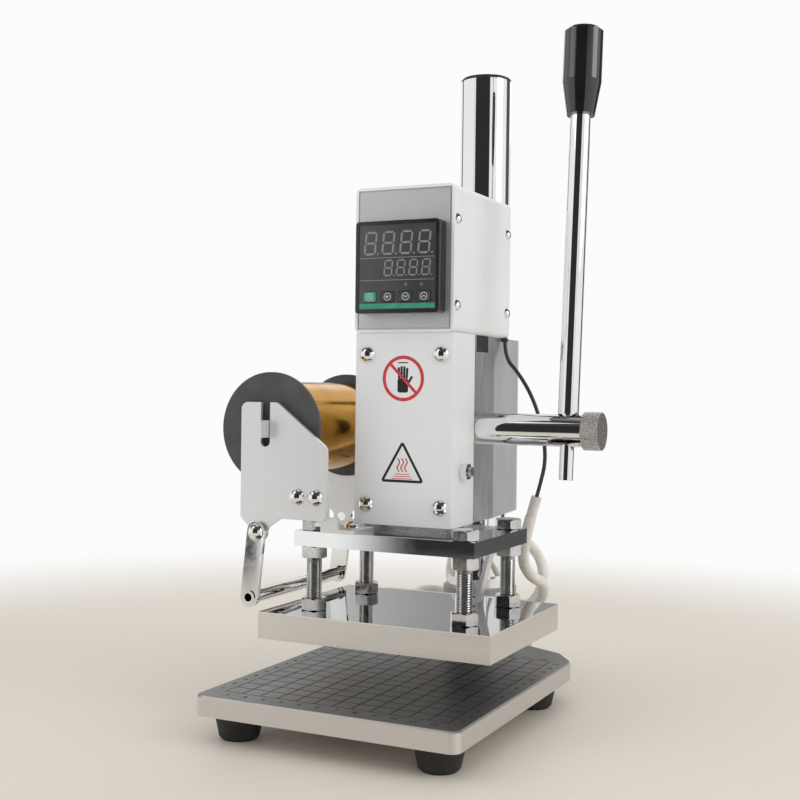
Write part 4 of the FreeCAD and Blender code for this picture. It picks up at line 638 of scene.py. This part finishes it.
key_dome = finish("key_moulding", (0.05, 0.052, 0.058), 0, 0.3)
tint(key_dome, (0.045, 0.047, 0.052), (0.060, 0.062, 0.068), 250)
vary(key_dome, "Roughness", 0.24, 0.4, 500)
grain(key_dome, 1800, 0.00001)
dress(key_dome, "key_2", "key_3", "key_4")

legend = finish("legend_ink", (0.60, 0.62, 0.62), 0, 0.4)
tint(legend, (0.55, 0.57, 0.57), (0.66, 0.68, 0.68), 500)
vary(legend, "Roughness", 0.32, 0.5, 800)
for key, strokes in (("key_1", ((-0.0005, 0.0004, 40), (0.0005, -0.0004, 40))),
                     ("key_2", ((-0.0006, 0.0003, 40), (-0.0006, -0.0003, -40), (0.0002, 0, 0))),
                     ("key_3", ((-0.0005, 0, -42), (0.0005, 0, 42))),
                     ("key_4", ((-0.0005, 0, 42), (0.0005, 0, -42)))):
    low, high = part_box(key)
    symbol = bmesh.new()
    ring(symbol, (0, 0), 0.0020, 0.0017, 32)
    for x, y, turn in strokes:
        bar(symbol, (x, y), 0.0016, 0.0004, math.radians(turn), 0.5, 2)
    place_mesh(key + "_legend", symbol, legend, key, thick=0.00003,
               at=facing_front((low.x + high.x) / 2, low.y - 0.00002, (low.z + high.z) / 2))


# ---- Power side
# The printed board inside the box, and the rocker switch over the mains inlet at the
# back, moulded in gloss black.
solder_mask = finish("solder_mask", (0.03, 0.16, 0.07), 0, 0.35)
tint(solder_mask, (0.02, 0.13, 0.055), (0.05, 0.20, 0.10), 220)
vary(solder_mask, "Roughness", 0.28, 0.45, 500)
grain(solder_mask, 900, 0.00003)
dress(solder_mask, "power_board")

rocker_gloss = finish("rocker_gloss", (0.014, 0.014, 0.015), 0, 0.2, Coat_Weight=0.3, Coat_Roughness=0.1)
tint(rocker_gloss, (0.011, 0.011, 0.012), (0.020, 0.020, 0.021), 120)
vary(rocker_gloss, "Roughness", 0.16, 0.3, 500)
grain(rocker_gloss, 1500, 0.00001)
dress(rocker_gloss, "rocker")


# ---- Cross shaft
# A hard-chromed shaft through the head. A knurled, satin-faced cap is pressed on its end.
def emboss(material, height, depth):
    """Raises the surface by a height worked out for each point."""
    tree = material.node_tree
    bump = tree.nodes.new("ShaderNodeBump")
    bump.inputs["Distance"].default_value = depth
    tree.links.new(height, bump.inputs["Height"])
    tree.links.new(bump.outputs["Normal"], tree.nodes["Principled BSDF"].inputs["Normal"])


cap_low, cap_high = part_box("shaft_end_cap")
knurl = finish("cap_knurl", (0.60, 0.56, 0.53), 1, 0.26)
tint(knurl, (0.55, 0.51, 0.48), (0.66, 0.62, 0.58), 90)
vary(knurl, "Roughness", 0.22, 0.34, 600)
tree = knurl.node_tree
x, y, z = axes_of(tree)
away_y = figure(tree, "SUBTRACT", y, (cap_low.y + cap_high.y) / 2)
away_z = figure(tree, "SUBTRACT", z, (cap_low.z + cap_high.z) / 2)
teeth = 30.0
turned = figure(tree, "MULTIPLY", figure(tree, "ARCTAN2", away_z, away_y), teeth)
run = figure(tree, "MULTIPLY", x, 4200.0)
crossing = figure(tree, "MULTIPLY", figure(tree, "SINE", figure(tree, "ADD", turned, run)),
                  figure(tree, "SINE", figure(tree, "SUBTRACT", turned, run)))
squares = figure(tree, "ADD", figure(tree, "MULTIPLY", away_y, away_y),
                 figure(tree, "MULTIPLY", away_z, away_z))
radius = figure(tree, "SQRT", squares)
rim_deep = 0.0004
rim = figure(tree, "GREATER_THAN", radius, (cap_high.z - cap_low.z) / 2 - rim_deep)
emboss(knurl, figure(tree, "MULTIPLY", crossing, rim), 0.0003)
dress(knurl, "shaft_end_cap")


# ---- Lever
# A chromed rod through the shaft, with a turned black phenolic knob.
knob_gloss = finish("knob_phenolic", (0.010, 0.010, 0.011), 0, 0.10, Coat_Weight=0.6, Coat_Roughness=0.03)
tint(knob_gloss, (0.008, 0.008, 0.009), (0.014, 0.014, 0.015), 60)
vary(knob_gloss, "Roughness", 0.07, 0.16, 300)
grain(knob_gloss, 500, 0.000006)
dress(knob_gloss, "lever_knob")


# ---- Heating plate
# A ground aluminium plate with a mirror-plated top and satin sides, with a painted highlight
# line round its top edge. Three cartridge heaters lie in it, under a folded steel cover at the back.
plate_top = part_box("heating_plate")[1].z - 0.0001
plate = finish("plate_plating", (0.78, 0.76, 0.74), 1, 0.1)
tree = plate.node_tree
height = axes_of(tree)[2]
above = figure(tree, "GREATER_THAN", height, plate_top)
side_rough = figure(tree, "MULTIPLY_ADD", noise(plate, 900, (0.05, 0.05, 1)), 0.08, 0.22)
top_rough = figure(tree, "MULTIPLY_ADD", noise(plate, 90), 0.03, 0.015)
plated = tree.nodes.new("ShaderNodeValToRGB")
plated.color_ramp.elements[0].color = (0.74, 0.72, 0.70, 1)
plated.color_ramp.elements[1].color = (0.80, 0.78, 0.76, 1)
tree.links.new(noise(plate, 20, (1, 1, 6)), plated.inputs["Fac"])
# Painted highlight: a near-white band 0.4 mm deep round the top of the sides, standing in for the light an
# edge chamfer would catch.
painted_highlight_depth = 0.0004
painted_highlight_edge = figure(tree, "GREATER_THAN", height, plate_top - painted_highlight_depth)
shown = lay_over(tree, plated.outputs["Color"], painted_highlight_edge, (0.95, 0.95, 0.95))
shown = lay_over(tree, shown, above, (0.62, 0.625, 0.63))
tree.links.new(shown, tree.nodes["Principled BSDF"].inputs["Base Color"])
rough = figure(tree, "ADD", figure(tree, "MULTIPLY", above, top_rough),
               figure(tree, "MULTIPLY", figure(tree, "SUBTRACT", 1.0, above), side_rough))
tree.links.new(rough, tree.nodes["Principled BSDF"].inputs["Roughness"])
grain(plate, 1800, 0.0000002, (0.1, 0.1, 1))
dress(plate, "heating_plate")

satin_steel = finish("satin_steel", (0.90, 0.90, 0.905), 0.8, 0.36)
tint(satin_steel, (0.89, 0.89, 0.895), (0.915, 0.915, 0.92), 30, (1, 1, 0.4))
vary(satin_steel, "Roughness", 0.33, 0.37, 900, (1, 1, 0.05))
grain(satin_steel, 1500, 0.0000003, (1, 1, 0.04))
dress(satin_steel, "terminal_cover", "heater_cartridges", "plate_stay", "front_side_plate",
      "rear_side_plate", "bracket_angles", "spindle")


# ---- Levelling bolts
# Four hex bolts and eight nuts, nickel-plated, that set the plate level. The shanks have a
# rolled thread between the two plates.
bolt_bright = finish("bolt_plating", (0.62, 0.61, 0.60), 1, 0.10)
tint(bolt_bright, (0.56, 0.55, 0.54), (0.68, 0.67, 0.66), 140)
vary(bolt_bright, "Roughness", 0.07, 0.14, 500)
grain(bolt_bright, 300, 0.000003)
dress(bolt_bright, "levelling_nuts")

threaded = finish("bolt_thread", (0.58, 0.575, 0.57), 1, 0.16)
tint(threaded, (0.52, 0.515, 0.51), (0.64, 0.635, 0.63), 140)
vary(threaded, "Roughness", 0.12, 0.22, 500)
tree = threaded.node_tree
height = axes_of(tree)[2]
thread_pitch = 0.00125
between_plates = between(tree, height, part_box("heating_plate")[1].z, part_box("adaptor_plate")[0].z, 0.0001)
ridges = figure(tree, "PINGPONG", height, thread_pitch / 2)
emboss(threaded, figure(tree, "MULTIPLY", ridges, between_plates), 0.5)
dress(threaded, "levelling_bolts")


# ---- Foil roll
# Metallised gold film wound on a card core between two matte plastic flanges.
gold = finish("gold_film", (0.66, 0.33, 0.04), 1, 0.14)
tint(gold, (0.62, 0.30, 0.032), (0.70, 0.36, 0.05), 60, (0.4, 1, 0.4))
vary(gold, "Roughness", 0.09, 0.16, 300, (1, 0.15, 1))
grain(gold, 90, 0.00001, (1, 0.05, 1))
dress(gold, "foil")

card = finish("core_card", (0.50, 0.38, 0.25), 0, 0.8)
tint(card, (0.44, 0.33, 0.21), (0.56, 0.44, 0.30), 260)
vary(card, "Roughness", 0.7, 0.9, 500)
grain(card, 1200, 0.00006)
dress(card, "foil_core")

flange_matte = finish("flange_matte", (0.075, 0.075, 0.077), 0, 0.5)
tint(flange_matte, (0.066, 0.066, 0.068), (0.088, 0.088, 0.090), 70)
vary(flange_matte, "Roughness", 0.42, 0.6, 400)
grain(flange_matte, 2200, 0.00002)
dress(flange_matte, "roll_flanges")
